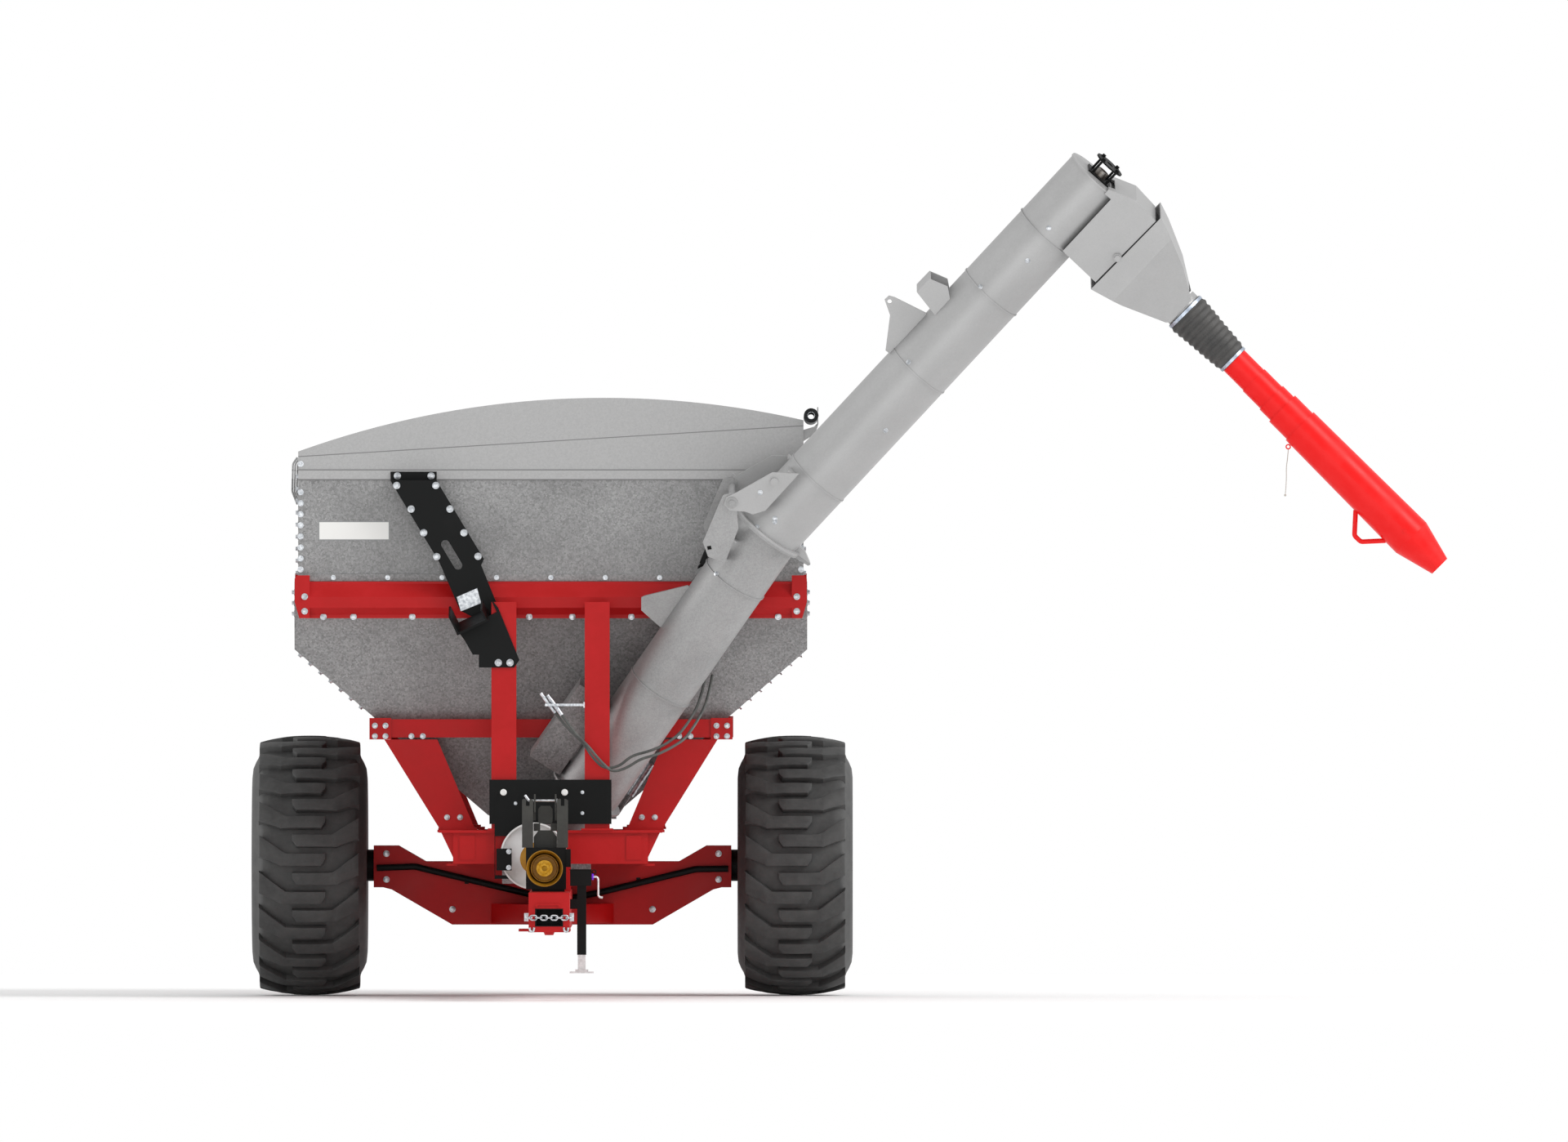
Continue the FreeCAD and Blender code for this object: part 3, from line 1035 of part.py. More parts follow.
spoutDown = unit(V(1, 0, -1))
spoutSide = unit(V(-1, 0, -1))
outlet = upper.point(940, 0, 2751)
spout = Seat(outlet, spoutSide, V(0, 1, 0), spoutDown)


def spoutHood():
    t = 4.0
    half = hoodHalf
    outline = [(408, 2500), (620, 2549), (902, 2640), (925, 2660), (925, 2850), (742, 2975), (529, 3080), (424, 3122)]
    inner = [(400, 2506), (618, 2555), (899, 2645), (935, 2663), (935, 2846), (740, 2970), (526, 3074), (400, 3122)]
    shell = upper.put(prism("Y", outline, -half, half)).cut(upper.put(prism("Y", inner, -half + t, half - t)))
    # the duct narrows front to back towards the round collar
    for sign in (-1, 1):
        wedge = upper.put(prism("Z", [(560, sign * half), (960, sign * 120), (960, sign * 300), (560, sign * 300)],
                                2400, 3200))
        shell = shell.cut(wedge)
        skin = upper.put(prism("Z", [(560, sign * half), (925, sign * 127.85), (925, sign * 123.6),
                                     (560, sign * (half - 4.2))], 2400, 3200))
        skin = skin.common(upper.put(prism("Y", outline, -half, half)))
        shell = shell.fuse(skin)
    clearance = upper.put(prism("Y", [(300, 2400), (418.5, 2550.5), (418.5, 3084), (300, 3200)], -205.5, 205.5))
    shell = shell.cut(clearance).removeSplitter()
    collarIn = spout.put(rod(V(0, 0, -95), V(0, 0, 24), 118))
    shell = shell.cut(collarIn)
    endPlate = upper.put(box(919, 925, -123, 123, 2662, 2848)).cut(collarIn)
    collar = spout.put(ring(V(0, 0, -30), V(0, 0, 1), 70, 121, 118))
    solids = sorted(shell.Solids, key=lambda s: -s.Volume)
    parts = [solids[0].cut(spout.put(rod(V(0, 0, -120), V(0, 0, 60), 121))), collar]
    pivotHole = upper.put(rod(V(hoodPivot[0], -300, hoodPivot[1]), V(hoodPivot[0], 300, hoodPivot[1]), 12 + fitGap))
    parts[0] = parts[0].cut(pivotHole)
    save("spout_hood", parts)


def lastRadius(along):
    # outside of the last sleeve, that far down the spout
    share = (along - spoutTops[4]) / (spoutEnds[4] - spoutTops[4])
    return (lastTopDiameter + (spoutDiameters[4] - lastTopDiameter) * share) / 2


def spoutParts():
    # corrugated sleeve between the hood's collar and the first spout sleeve
    waves = 8
    start, end = 14.0, 452.0
    hold = spoutDiameters[0] / 2 + runGap
    step = (end - start - 60) / waves
    outline = [(start, 121.3), (start, 130), (start + 30, 130)]
    for index in range(waves):
        a = start + 30 + index * step
        taper = 141 - index * 4.8
        outline += [(a + step * 0.3, taper), (a + step * 0.7, taper), (a + step, taper - 12)]
    outline += [(end, hold + 6.7), (end, hold), (end - 34, hold)]
    for index in reversed(range(waves)):
        a = start + 30 + index * step
        taper = 141 - index * 4.8
        outline += [(a + step, taper - 18), (a + step * 0.7, taper - 6), (a + step * 0.3, taper - 6)]
    outline += [(start + 34, 121.3)]
    cleaned = []
    for point in outline:
        if not cleaned or (abs(point[0] - cleaned[-1][0]) + abs(point[1] - cleaned[-1][1])) > 0.5:
            cleaned.append(point)
    save("bellows", [turned(spout.origin, spoutDown, cleaned)])
    clamps = []
    for at, radius, wide in ((20, 130.3, 20), (430, hold + 7, 18)):
        clamps.append(spout.put(ring(V(0, 0, at), V(0, 0, 1), wide, radius + 4, radius)))
        clamps.append(spout.put(box(-14, 14, radius + 4.2, radius + 18, at + 3, at + wide - 3)))
    save("bellows_clamps", clamps)
    # five sleeves, each sliding outside the one above it
    names = ("spout_a", "spout_b", "spout_c", "spout_d", "spout_e")
    for index, name in enumerate(names):
        radius = spoutDiameters[index] / 2
        top, low = spoutTops[index], spoutEnds[index]
        topRadius = lastRadius(top) if index == 4 else radius
        skin = [(top, topRadius - spoutWall), (top, topRadius), (low, radius), (low, radius - spoutWall)]
        sleeve = [turned(spout.origin, spoutDown, skin)]
        if index:
            inner = spoutDiameters[index - 1] / 2 + runGap
            guide = ring(V(0, 0, top), V(0, 0, 1), 26, topRadius - spoutWall + 0.5, inner)
            sleeve[0] = sleeve[0].fuse(spout.put(guide)).removeSplitter()
        if index == 4:
            inside = radius - spoutWall
            cone = turned(spout.origin, spoutDown, [(low, inside), (low, radius), (low + tipLength, tipRadius),
                                                    (low + tipLength, tipRadius - spoutWall)])
            sleeve[0] = sleeve[0].fuse(cone).removeSplitter()
            sleeve.append(spout.put(ring(V(lastRadius(top + 40) + eyeOut, 5, top + 40), V(0, -1, 0), 10, 17, 9)))
            route = [(lastRadius(1628) - 6, 1628), (238, 1734), (236, 1788), (lastRadius(1890) - 6, 1890)]
            points = [spout.point(x, 0, z) for x, z in route]
            core = turned(spout.origin, spoutDown, [(1500, 0), (1500, lastRadius(1500) + 0.3),
                                                    (low, radius + 0.3), (low, 0)])
            sleeve.append(bentBar(points, 15, bend=30).cut(core))
            boltZ = 1930
            sleeve.append(bolt(spout.point(0, -lastRadius(boltZ) - 0.3, boltZ), V(0, -1, 0), 16, 6))
        save(name, sleeve)


ropeRadius = 2.5


def spoutRope():
    eyeLow = spout.point(lastRadius(spoutTops[4] + 40) + eyeOut, 0, spoutTops[4] + 40) + V(0, 0, -17)
    x, y, z = eyeLow.x, eyeLow.y, eyeLow.z
    route = [V(x, y, z - runGap), V(x - 4, y, z - 55), V(x - 12, y, z - 110), V(x - 11, y, z - 165), V(x - 13, y, z - 220),
             V(x - 18, y, z - 275)]
    save("spout_rope", [bentBar(route, ropeRadius, "spout_rope")])
    print("rope points", [(round(p.x, 1), round(p.y, 1), round(p.z - hitchHeight, 1)) for p in route])
    knot = Part.makeSphere(7, V(x - 18.6, y, z - 280.5))
    knot = knot.cut(rod(V(x - 17, y, z - 264), V(x - 18.02, y, z - 275.3), 40))
    save("rope_knot", [knot])


# ---------------------------------------------------------------- fold hinge and cylinder
def foldHinge():
    half = hingePlateOut + hingePlate + runGap
    pin = hingeSeat.put(rod(V(0, -half - 16, 0), V(0, half + 8, 0), pinRadius))
    head = hingeSeat.put(ring(V(0, -half - 8, 0), V(0, 1, 0), 7.7, 36, pinRadius + fitGap))
    nut = hingeSeat.put(ring(V(0, half + 0.3, 0), V(0, 1, 0), 7, 34, pinRadius + fitGap))
    return [pin, head, nut]


def rotated(vector, degrees):
    return FreeCAD.Rotation(foldAxis, degrees).multVec(vector)


cylinderLayer = 300.0      # middle of the cylinder, behind the hinge along the fold axis


def planePoint(radius, degrees, layer):
    a = math.radians(degrees)
    up = V(0, -math.sin(tilt), math.cos(tilt))
    return hinge + V(1, 0, 0) * (radius * math.cos(a)) + up * (radius * math.sin(a)) + foldAxis * layer


def foldCylinder():
    base = planePoint(575, 252, cylinderLayer)
    crank = planePoint(150, 263, cylinderLayer)
    along = unit(crank - base)
    eye = rod(base - foldAxis * 15, base + foldAxis * 15, 34).cut(
        rod(base - foldAxis * 20, base + foldAxis * 20, 16 + fitGap))
    barrelEnd = base + along * 392
    barrel = rod(base + along * 30, barrelEnd, 36).cut(rod(base + along * 60, barrelEnd + along, 20 + fitGap))
    save("fold_barrel", [eye.fuse(barrel.cut(rod(base - foldAxis * 20, base + foldAxis * 20, 16 + fitGap)))])
    tip = rod(crank - foldAxis * 14, crank + foldAxis * 14, 28).cut(
        rod(crank - foldAxis * 20, crank + foldAxis * 20, 14))
    ramRod = rod(base + along * 70, crank - along * 26, 20).fuse(tip)
    ramRod = ramRod.cut(rod(crank - foldAxis * 20, crank + foldAxis * 20, 14))
    bush = rod(crank - foldAxis * 17, crank + foldAxis * 17, 13.7)
    save("fold_rod", [ramRod, bush])


# Crank plate on the upper tube's rear hinge plate.
def foldCrank():
    y0 = hingePlateOut + runGap + hingePlate
    def local(point):
        d = point - upper.origin
        return (d.dot(upper.x), d.dot(upper.z))
    c = local(planePoint(150, 263, 0))
    h = local(hinge)
    outline = [(h[0] - 48, h[1] + 60), (h[0] + 55, h[1] + 60), (c[0] + 34, c[1] - 10), (c[0] + 16, c[1] - 34),
               (c[0] - 16, c[1] - 34), (c[0] - 34, c[1] - 10)]
    crankPlate = upper.put(prism("Y", outline, y0, y0 + 12))
    crankPlate = crankPlate.cut(hingeSeat.put(rod(V(0, 0, 0), V(0, 400, 0), 38)))
    return crankPlate


def cylinderLug():
    base = planePoint(575, 252, cylinderLayer)
    lug = rod(base - foldAxis * 120, base + foldAxis * 18, 15.95)
    d = base - lower.origin
    lx, ly, lz = d.dot(lower.x), d.dot(lower.y), d.dot(lower.z)
    arm = lower.put(prism("Y", [(lx - 36, lz - 20), (lx - 10, lz + 30), (lx + 130, lz + 60), (lx + 160, lz - 60),
                                (lx + 20, lz - 60)], ly - 120, ly - 22))
    core = lower.put(rod(V(0, 0, -2400), V(0, 0, 0), tubeRadius + seatGap))
    arm = arm.cut(core)
    solids = sorted(arm.Solids, key=lambda s: -s.Volume)
    lug = lug.cut(solids[0])
    lugs = sorted(lug.Solids, key=lambda s: -s.Volume)
    return [solids[0], lugs[0]]


# ---------------------------------------------------------------- rest arm for the folded auger
armFaceY = 1805.0           # front of the arm's channel, behind the folded tube


def restArm():
    parts = []
    backY = wallY - beamDepth
    # top plate on the wall's rim, channel down to the middle beam
    parts.append(box(-987, -703, wallY - 20, wallY - 8, 3190, 3242))
    parts.append(box(-979, -711, armFaceY + 6, wallY - 8, 3176, 3188))
    web = prism("Y", [(-987, 3189), (-703, 3189), (-411, 2704), (-428, 2666), (-286, 2317), (-420, 2317),
                      (-557, 2387), (-683, 2679)], armFaceY, armFaceY + 6)
    slotEnds = [V(-648, 0, 2795), V(-570, 0, 2665)]
    for at in slotEnds:
        web = web.cut(rod(V(at.x, armFaceY - 1, at.z), V(at.x, armFaceY + 7, at.z), 26))
    side = unit(V(slotEnds[1].z - slotEnds[0].z, 0, slotEnds[0].x - slotEnds[1].x)) * 26
    corners = [slotEnds[0] + side, slotEnds[1] + side, slotEnds[1] - side, slotEnds[0] - side]
    web = web.cut(prism("Y", [(c.x, c.z) for c in corners], armFaceY - 1, armFaceY + 7))
    parts.append(web)
    for points in ([(-980, 3176), (-683, 2679), (-557, 2387), (-549, 2387), (-674, 2679), (-971, 3176)],
                   [(-719, 3176), (-419, 2704), (-411, 2704), (-709, 3176)],
                   [(-438, 2666), (-428, 2666), (-286, 2317), (-295, 2317)]):
        parts.append(prism("Y", points, armFaceY + 6, backY))
    # lower part comes forward round the column to its front face
    above = foldedSeat().put(box(-368, 600, -500, 500, 1655, 1960))
    face = prism("Y", [(-640, 2400), (-478, 2116), (-441, 2116), (-441, 2037), (-224, 2037), (-191, 2083),
                       (-322, 2405), (-350, 2440), (-620, 2440)], columnY - 12, columnY).cut(above)
    face = face.cut(box(-700, -562, columnY - 13, columnY + 1, 2000, 2500))
    parts.append(sorted(face.Solids, key=lambda solid: -solid.Volume)[0])
    columnSide = -(columnSpread + columnWidth / 2) - 4
    parts.append(box(columnSide - 10, columnSide, columnY, armFaceY, 2116, 2317))
    rib = prism("Y", [(-562, 2400), (-562, 2250), (-478, 2130), (columnSide - 10, 2130), (columnSide - 10, 2400)],
                columnY + 90, columnY + 100).cut(above)
    parts.append(sorted(rib.Solids, key=lambda solid: -solid.Volume)[0])
    # cup for the folded tube's cradle: a floor and two cheeks square to the folded tube
    folded = foldedSeat()
    parts.append(folded.put(box(-368, -354 - 2 * runGap, -120, 150, 1712, 1925)))
    parts.append(folded.put(box(-354 - 2 * runGap, -240, -120, 150, 1910, 1922)))
    parts.append(folded.put(box(-354 - 2 * runGap, -290, -120, 150, 1716, 1728)))
    wear = prism("Y", [(-578, 2470), (-453, 2525), (-428, 2433), (-553, 2383)], armFaceY - 8, armFaceY)
    save("rest_arm", parts)
    return wear


foldDegrees = -158.0


def foldedPoint(localPoint):
    start = upper.point(localPoint.x, localPoint.y, localPoint.z)
    return hinge + rotated(start - hinge, foldDegrees)


def foldedDir(vector):
    return rotated(vector, foldDegrees)


def foldedSeat():
    return Seat(foldedPoint(V(0, 0, 0)), foldedDir(upper.x), foldedDir(upper.y), foldedDir(upper.z))


# ---------------------------------------------------------------- hoses and small parts
hoseRadius = 8.5


def hoses():
    solids = []
    front = columnY - 60
    routes = {
        "supply one": [V(30, front, 1760), V(75, front + 4, 1700), V(130, front + 2, 1640), V(205, front, 1570),
                       V(262, front - 4, 1480), V(330, front, 1415), V(420, front + 6, 1428), V(500, front + 10, 1496),
                       V(600, front + 16, 1520), V(700, front + 40, 1560), V(790, front + 110, 1625),
                       V(852, front + 220, 1706), V(905, front + 350, 1800), V(935, front + 465, 1900),
                       V(955, front + 515, 2000)],
        "supply two": [V(70, front - 20, 1746), V(112, front - 22, 1688), V(160, front - 22, 1625),
                       V(232, front - 24, 1555), V(300, front - 26, 1470), V(380, front - 24, 1392),
                       V(470, front - 20, 1420), V(555, front - 14, 1476), V(650, front - 2, 1500),
                       V(735, front + 24, 1540), V(825, front + 92, 1596), V(892, front + 206, 1690),
                       V(945, front + 340, 1786), V(975, front + 455, 1890), V(995, front + 520, 1990)],
    }
    for name, route in routes.items():
        solids.append(bentBar(route, hoseRadius, name))
    save("hydraulic_hoses", solids)
    # parked couplings through a block on a bracket from the right column
    columnX = columnSpread - columnWidth / 2
    block = box(-34, 52, front - 40, front + 20, 1800, 1815)
    parts = []
    for route in routes.values():
        start = route[0]
        way = unit(route[0] - route[1])
        body = rod(start + way * runGap, start + way * 120, 13)
        tip = rod(start + way * 120, start + way * 150, 11)
        parts.append(body.fuse(tip).removeSplitter())
        block = block.cut(rod(start - way * 50, start + way * 150, 13 + seatGap))
    parts.append(sorted(block.Solids, key=lambda solid: -solid.Volume)[0])
    parts.append(box(52, columnX - 8, front - 6, front + 6, 1800, 1815))
    parts.append(box(columnX - 8, columnX, front - 6, columnY + 60, 1790, 1825))
    return parts


def label():
    save("blank_label", [box(-1431, -993, wallY - 2, wallY, 2820, 2937)])


# Sliding flow gate on the lower front wall, with its ram. Frame: x across, z up the wall, -y outwards.
wallFrame = Seat(V(0, sideY(sumpZ, False), sumpZ), V(1, 0, 0), unit(V(0, 1, frontLean)), unit(V(0, -frontLean, 1)))


def gateParts():
    out = -runGap
    start, end = V(400, -40, 10), V(618, -40, 366)
    way = unit(end - start)
    slab = wallFrame.put(box(215, 385, out - 8, out, -12, 110))
    lug = wallFrame.put(box(372, 402, -52, out - 8, -4, 34))
    ram = wallFrame.put(rod(start + way * 14, start + way * 270, 10))
    save("gate_plate", [slab, lug.cut(ram), ram])
    barrel = wallFrame.put(rod(start + way * 170, end, 26)).cut(wallFrame.put(
        rod(start, start + way * 405, 10 + fitGap)))
    parts = [barrel]
    for at in (230, 390):
        foot = start + way * at
        parts.append(wallFrame.put(box(foot.x - 14, foot.x + 14, -14, 0, foot.z - 14, foot.z + 14))
                     .cut(wallFrame.put(rod(start, end + way, 26))))
    return parts


# ---------------------------------------------------------------- build
hopper()
troughParts, troughFront, troughRear = trough()
save("hopper_trough", troughParts)
hopperBolts()
tarp()
middleBeam()
lowerFrame()
columns()
chassis()
axleBeam()
hubs()
wheel("left", -1)
wheel("right", 1)
drawbar()
hitch()
jack()
boltSolids = driveLine()
cradle()
boltSolids += panel()
lowerAuger()
boot()
sideDuct()
upperAuger()
dischargeChute()
spoutHood()
spoutParts()
spoutRope()
foldCylinder()
boltSolids.append(restArm())
save("frame_bolts", boltSolids)
save("hydraulic_fittings", hoses() + gateParts())
label()
floorSeat = Seat(V(0, bootBackY - 20, troughZ), V(1, 0, 0), V(0, 0, -1), V(0, 1, 0))
floorShaft = floorSeat.put(pipe(V(0, 0, 0), V(0, 0, troughRear + 80 - bootBackY), shaftRadius, 8))
floorFlight = screwFlight(floorSeat, 30, troughRear - bootBackY - 40, floorFlightRadius)
save("floor_screw", [floorShaft, floorFlight])
print("hinge", [round(c, 2) for c in (hinge.x, hinge.y, hinge.z - hitchHeight)])
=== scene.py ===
import math

import bmesh
import bpy
from mathutils import Matrix, Vector, noise


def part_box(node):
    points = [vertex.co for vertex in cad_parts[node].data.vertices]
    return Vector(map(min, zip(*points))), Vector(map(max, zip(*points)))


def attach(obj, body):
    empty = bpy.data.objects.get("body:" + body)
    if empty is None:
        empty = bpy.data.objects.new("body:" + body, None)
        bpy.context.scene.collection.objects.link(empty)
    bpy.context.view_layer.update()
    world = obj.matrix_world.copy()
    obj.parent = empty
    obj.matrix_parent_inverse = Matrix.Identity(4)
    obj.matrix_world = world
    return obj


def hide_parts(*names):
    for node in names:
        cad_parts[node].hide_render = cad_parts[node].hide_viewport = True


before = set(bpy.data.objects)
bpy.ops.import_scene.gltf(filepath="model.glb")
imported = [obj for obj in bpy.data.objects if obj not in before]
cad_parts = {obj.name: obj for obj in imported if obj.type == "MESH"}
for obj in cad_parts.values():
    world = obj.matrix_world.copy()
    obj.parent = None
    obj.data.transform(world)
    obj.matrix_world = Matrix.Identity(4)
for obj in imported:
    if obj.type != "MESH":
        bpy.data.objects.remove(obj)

for name in ("Cube", "Light", "Camera"):  # what a new file starts with
    if name in bpy.data.objects:
        bpy.data.objects.remove(bpy.data.objects[name])
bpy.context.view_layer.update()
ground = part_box("tyre_left")[0][2]
print("frame loaded,", len(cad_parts), "nodes")


# camera: a long lens, level, square on to the front

cameraSettings = {
    "aim": (1.436, 2.0, 2.1177),
    "frameWidth": 9.6576,
    "lens": 1000.0,
    "sensor": 36.0,
}


def makeCamera(settings):
    data = bpy.data.cameras.new("camera")
    data.lens = settings["lens"]
    data.sensor_width = settings["sensor"]
    away = settings["frameWidth"] * settings["lens"] / settings["sensor"]
    camera = bpy.data.objects.new("camera", data)
    bpy.context.collection.objects.link(camera)
    camera.location = Vector(settings["aim"]) + Vector((0, -away, 0))
    camera.rotation_euler = (math.radians(90), 0, 0)
    data.clip_start = 1.0
    data.clip_end = away * 3
    bpy.context.scene.camera = camera


makeCamera(cameraSettings)


# finishes

def linear(colour):  # sRGB hex to linear RGBA
    values = []
    for start in (1, 3, 5):
        share = int(colour[start:start + 2], 16) / 255
        values.append(share / 12.92 if share <= 0.04045 else ((share + 0.055) / 1.055) ** 2.4)
    return (*values, 1.0)


def addNode(tree, kind, inputs=None, **settings):
    node = tree.nodes.new(kind)
    for name, value in settings.items():
        setattr(node, name, value)
    for name, value in (inputs or {}).items():
        if isinstance(value, bpy.types.NodeSocket):
            tree.links.new(value, node.inputs[name])
        else:
            node.inputs[name].default_value = value
    return node


def startFinish(name, sockets):
    material = bpy.data.materials.new(name)
    material.use_nodes = True
    tree = material.node_tree
    shader = tree.nodes["Principled BSDF"]
    for socket, value in sockets.items():
        shader.inputs[socket].default_value = value
    place = addNode(tree, "ShaderNodeTexCoord").outputs["Object"]
    return material, tree, shader, place


def twoColours(tree, share, low, high, start=0.35, end=0.65):
    ramp = addNode(tree, "ShaderNodeValToRGB", {"Fac": share})
    ramp.color_ramp.elements[0].position = start
    ramp.color_ramp.elements[1].position = end
    ramp.color_ramp.elements[0].color = linear(low)
    ramp.color_ramp.elements[1].color = linear(high)
    return ramp.outputs["Color"]


def grainOf(tree, place, metres, detail, roughness=0.5):  # soft noise with features that many metres across
    return addNode(tree, "ShaderNodeTexNoise", {"Vector": place, "Scale": 1 / metres, "Detail": detail,
                                                "Roughness": roughness}).outputs["Fac"]


def setColour(tree, shader, colour):
    tree.links.new(colour, shader.inputs["Base Color"])


def setRoughness(tree, shader, share, low, high, shareLow=0.0, shareHigh=1.0):
    spread = addNode(tree, "ShaderNodeMapRange", {"Value": share, "From Min": shareLow, "From Max": shareHigh,
                                                  "To Min": low, "To Max": high})
    tree.links.new(spread.outputs["Result"], shader.inputs["Roughness"])


def swapWhere(tree, mask, colour, other):  # the other colour where the mask is 1
    blend = addNode(tree, "ShaderNodeMixRGB", {"Fac": mask, "Color1": colour, "Color2": other})
    return blend.outputs["Color"]


def setBump(tree, shader, height, strength, metres):
    bump = addNode(tree, "ShaderNodeBump", {"Height": height, "Strength": strength, "Distance": metres})
    tree.links.new(bump.outputs["Normal"], shader.inputs["Normal"])


seamSettings = {
    "lines": [(2.740, 0.0), (2.681, 0.0), (2.917, 0.0611)],   # height at x = 0, rise for each metre across
    "half": 0.0032,
    "shade": "#7E7E7E",
}


def drawSeams(tree, place, colour):  # dark joint lines between the sheets
    axes = addNode(tree, "ShaderNodeSeparateXYZ", {"Vector": place})
    for height, slope in seamSettings["lines"]:
        line = addNode(tree, "ShaderNodeMath", {0: axes.outputs["X"], 1: slope, 2: height},
                       operation="MULTIPLY_ADD").outputs[0]
        seam = addNode(tree, "ShaderNodeMath", {0: axes.outputs["Z"], 1: line, 2: seamSettings["half"]},
                       operation="COMPARE").outputs[0]
        colour = swapWhere(tree, seam, colour, linear(seamSettings["shade"]))
    return colour


def galvanised(name, dull, bright, stain, roughness, crystals=0.35, paintedLightAbove=None):
    # hot-dip galvanised sheet: crystals of zinc about a centimetre across, a fine dull grain
    # over them, and broad clouds where rain and dust have dulled the zinc
    material, tree, shader, place = startFinish(name, {"Metallic": 0.5})
    crystal = addNode(tree, "ShaderNodeTexVoronoi", {"Vector": place, "Scale": 1 / 0.011})
    grain = grainOf(tree, place, 0.006, 3.0, 0.75)
    cloud = grainOf(tree, place, 0.55, 5.0, 0.6)
    tone = addNode(tree, "ShaderNodeMath", {0: crystal.outputs["Color"], 1: crystals}, operation="MULTIPLY")
    both = addNode(tree, "ShaderNodeMath", {0: grain, 1: 1 - crystals, 2: tone.outputs[0]},
                   operation="MULTIPLY_ADD").outputs[0]
    sheet = twoColours(tree, both, dull, bright, 0.3, 0.72)
    clouds = twoColours(tree, cloud, stain, "#FFFFFF", 0.3, 0.62)
    colour = addNode(tree, "ShaderNodeVectorMath", {0: sheet, 1: clouds}, operation="MULTIPLY").outputs[0]
    if paintedLightAbove:  # painted light and shade: above this height the sheet is painted lighter and more even, and below it stays darker, where the lower walls lie in shade
        height = addNode(tree, "ShaderNodeSeparateXYZ", {"Vector": place}).outputs["Z"]
        above = addNode(tree, "ShaderNodeMath", {0: height, 1: paintedLightAbove}, operation="GREATER_THAN")
        # painted light: the lighter, more even zinc of the upper sheets
        paintedLighterTop = twoColours(tree, both, "#9C9C9C", "#B2B2B2", 0.2, 0.8)
        colour = drawSeams(tree, place, swapWhere(tree, above.outputs[0], colour, paintedLighterTop))
    setColour(tree, shader, colour)
    setRoughness(tree, shader, both, roughness - 0.08, roughness + 0.1, 0.25, 0.75)
    setBump(tree, shader, grain, 0.2, 0.0005)
    return material


def paint(name, colour, dusty, roughness, dust=0.35, sheen=0.5, whiteBefore=None):
    # sprayed enamel over steel: an even colour, faint orange peel a few millimetres across,
    # and field dust that dulls it in patches
    material, tree, shader, place = startFinish(name, {"IOR": 1.5, "Specular IOR Level": sheen})
    peel = grainOf(tree, place, 0.006, 2.0)
    patch = grainOf(tree, place, 0.24, 8.0, 0.68)
    coat = twoColours(tree, patch, colour, dusty, 0.42, 0.42 + dust)
    if whiteBefore:  # knobs standing out in front of the sheet are left white
        forward = addNode(tree, "ShaderNodeSeparateXYZ", {"Vector": place}).outputs["Y"]
        knob = addNode(tree, "ShaderNodeMath", {0: forward, 1: whiteBefore}, operation="LESS_THAN")
        coat = swapWhere(tree, knob.outputs[0], coat, linear("#E2E2E0"))
    setColour(tree, shader, coat)
    setRoughness(tree, shader, patch, roughness - 0.06, roughness + 0.14, 0.3, 0.7)
    setBump(tree, shader, peel, 0.12, 0.0006)
    return material


def platedSteel(name, dull, bright, roughness):
    # plated steel: bright, slightly cloudy
    material, tree, shader, place = startFinish(name, {"Metallic": 1.0})
    cloud = grainOf(tree, place, 0.018, 5.0)
    setColour(tree, shader, twoColours(tree, cloud, dull, bright))
    setRoughness(tree, shader, cloud, roughness - 0.08, roughness + 0.12)
    setBump(tree, shader, cloud, 0.1, 0.0004)
    return material


def flightSteel():
    # bare rolled steel, polished by grain at random and browned between
    material, tree, shader, place = startFinish("rolledFlightSteel", {"Metallic": 1.0, "Roughness": 0.42})
    wear = grainOf(tree, place, 0.09, 7.0, 0.7)
    setColour(tree, shader, twoColours(tree, wear, "#6B5A4C", "#A8A6A2"))
    setBump(tree, shader, wear, 0.2, 0.001)
    return material


def mouldedPlastic(name, colour, worn, roughness, grit, sheen=0.5):
    # moulded polyethylene: one colour right through, a soft waxy gloss, the mould's fine
    # texture, and paler rubbed patches
    material, tree, shader, place = startFinish(name, {"IOR": 1.51, "Specular IOR Level": sheen})
    texture = grainOf(tree, place, grit, 3.0)
    rubbed = grainOf(tree, place, 0.16, 6.0, 0.65)
    setColour(tree, shader, twoColours(tree, rubbed, colour, worn, 0.45, 0.8))
    setRoughness(tree, shader, rubbed, roughness - 0.05, roughness + 0.12, 0.3, 0.7)
    setBump(tree, shader, texture, 0.15, 0.0005)
    return material


def rubber(name, colour, dusty, roughness, grit=0.004):
    # vulcanised rubber: matt black gone grey with bloom, and dust lodged in its grain
    material, tree, shader, place = startFinish(name, {"Roughness": roughness, "IOR": 1.52})
    dust = grainOf(tree, place, 0.12, 9.0, 0.72)
    fine = grainOf(tree, place, grit, 2.0)
    setColour(tree, shader, twoColours(tree, dust, colour, dusty, 0.35, 0.75))
    setBump(tree, shader, fine, 0.2, 0.0006)
    return material


def coatedCloth():
    # PVC-coated polyester: the weave's threads, drawn broad so that they show, under a
    # satin coat with pale scuffs
    material, tree, shader, place = startFinish("coatedPolyesterCloth", {"Roughness": 0.5, "IOR": 1.53})
    scuff = grainOf(tree, place, 0.07, 7.0, 0.7)
    setColour(tree, shader, twoColours(tree, scuff, "#17191A", "#34373A", 0.4, 0.75))
    threads = []
    for way in ("Y", "Z"):
        thread = addNode(tree, "ShaderNodeTexWave", {"Vector": place, "Scale": 1 / 0.02, "Distortion": 0.4},
                         bands_direction=way)
        threads.append(thread.outputs["Fac"])
    weave = addNode(tree, "ShaderNodeMath", {0: threads[0], 1: threads[1]}, operation="MULTIPLY")
    setBump(tree, shader, weave.outputs[0], 0.3, 0.0005)
    return material


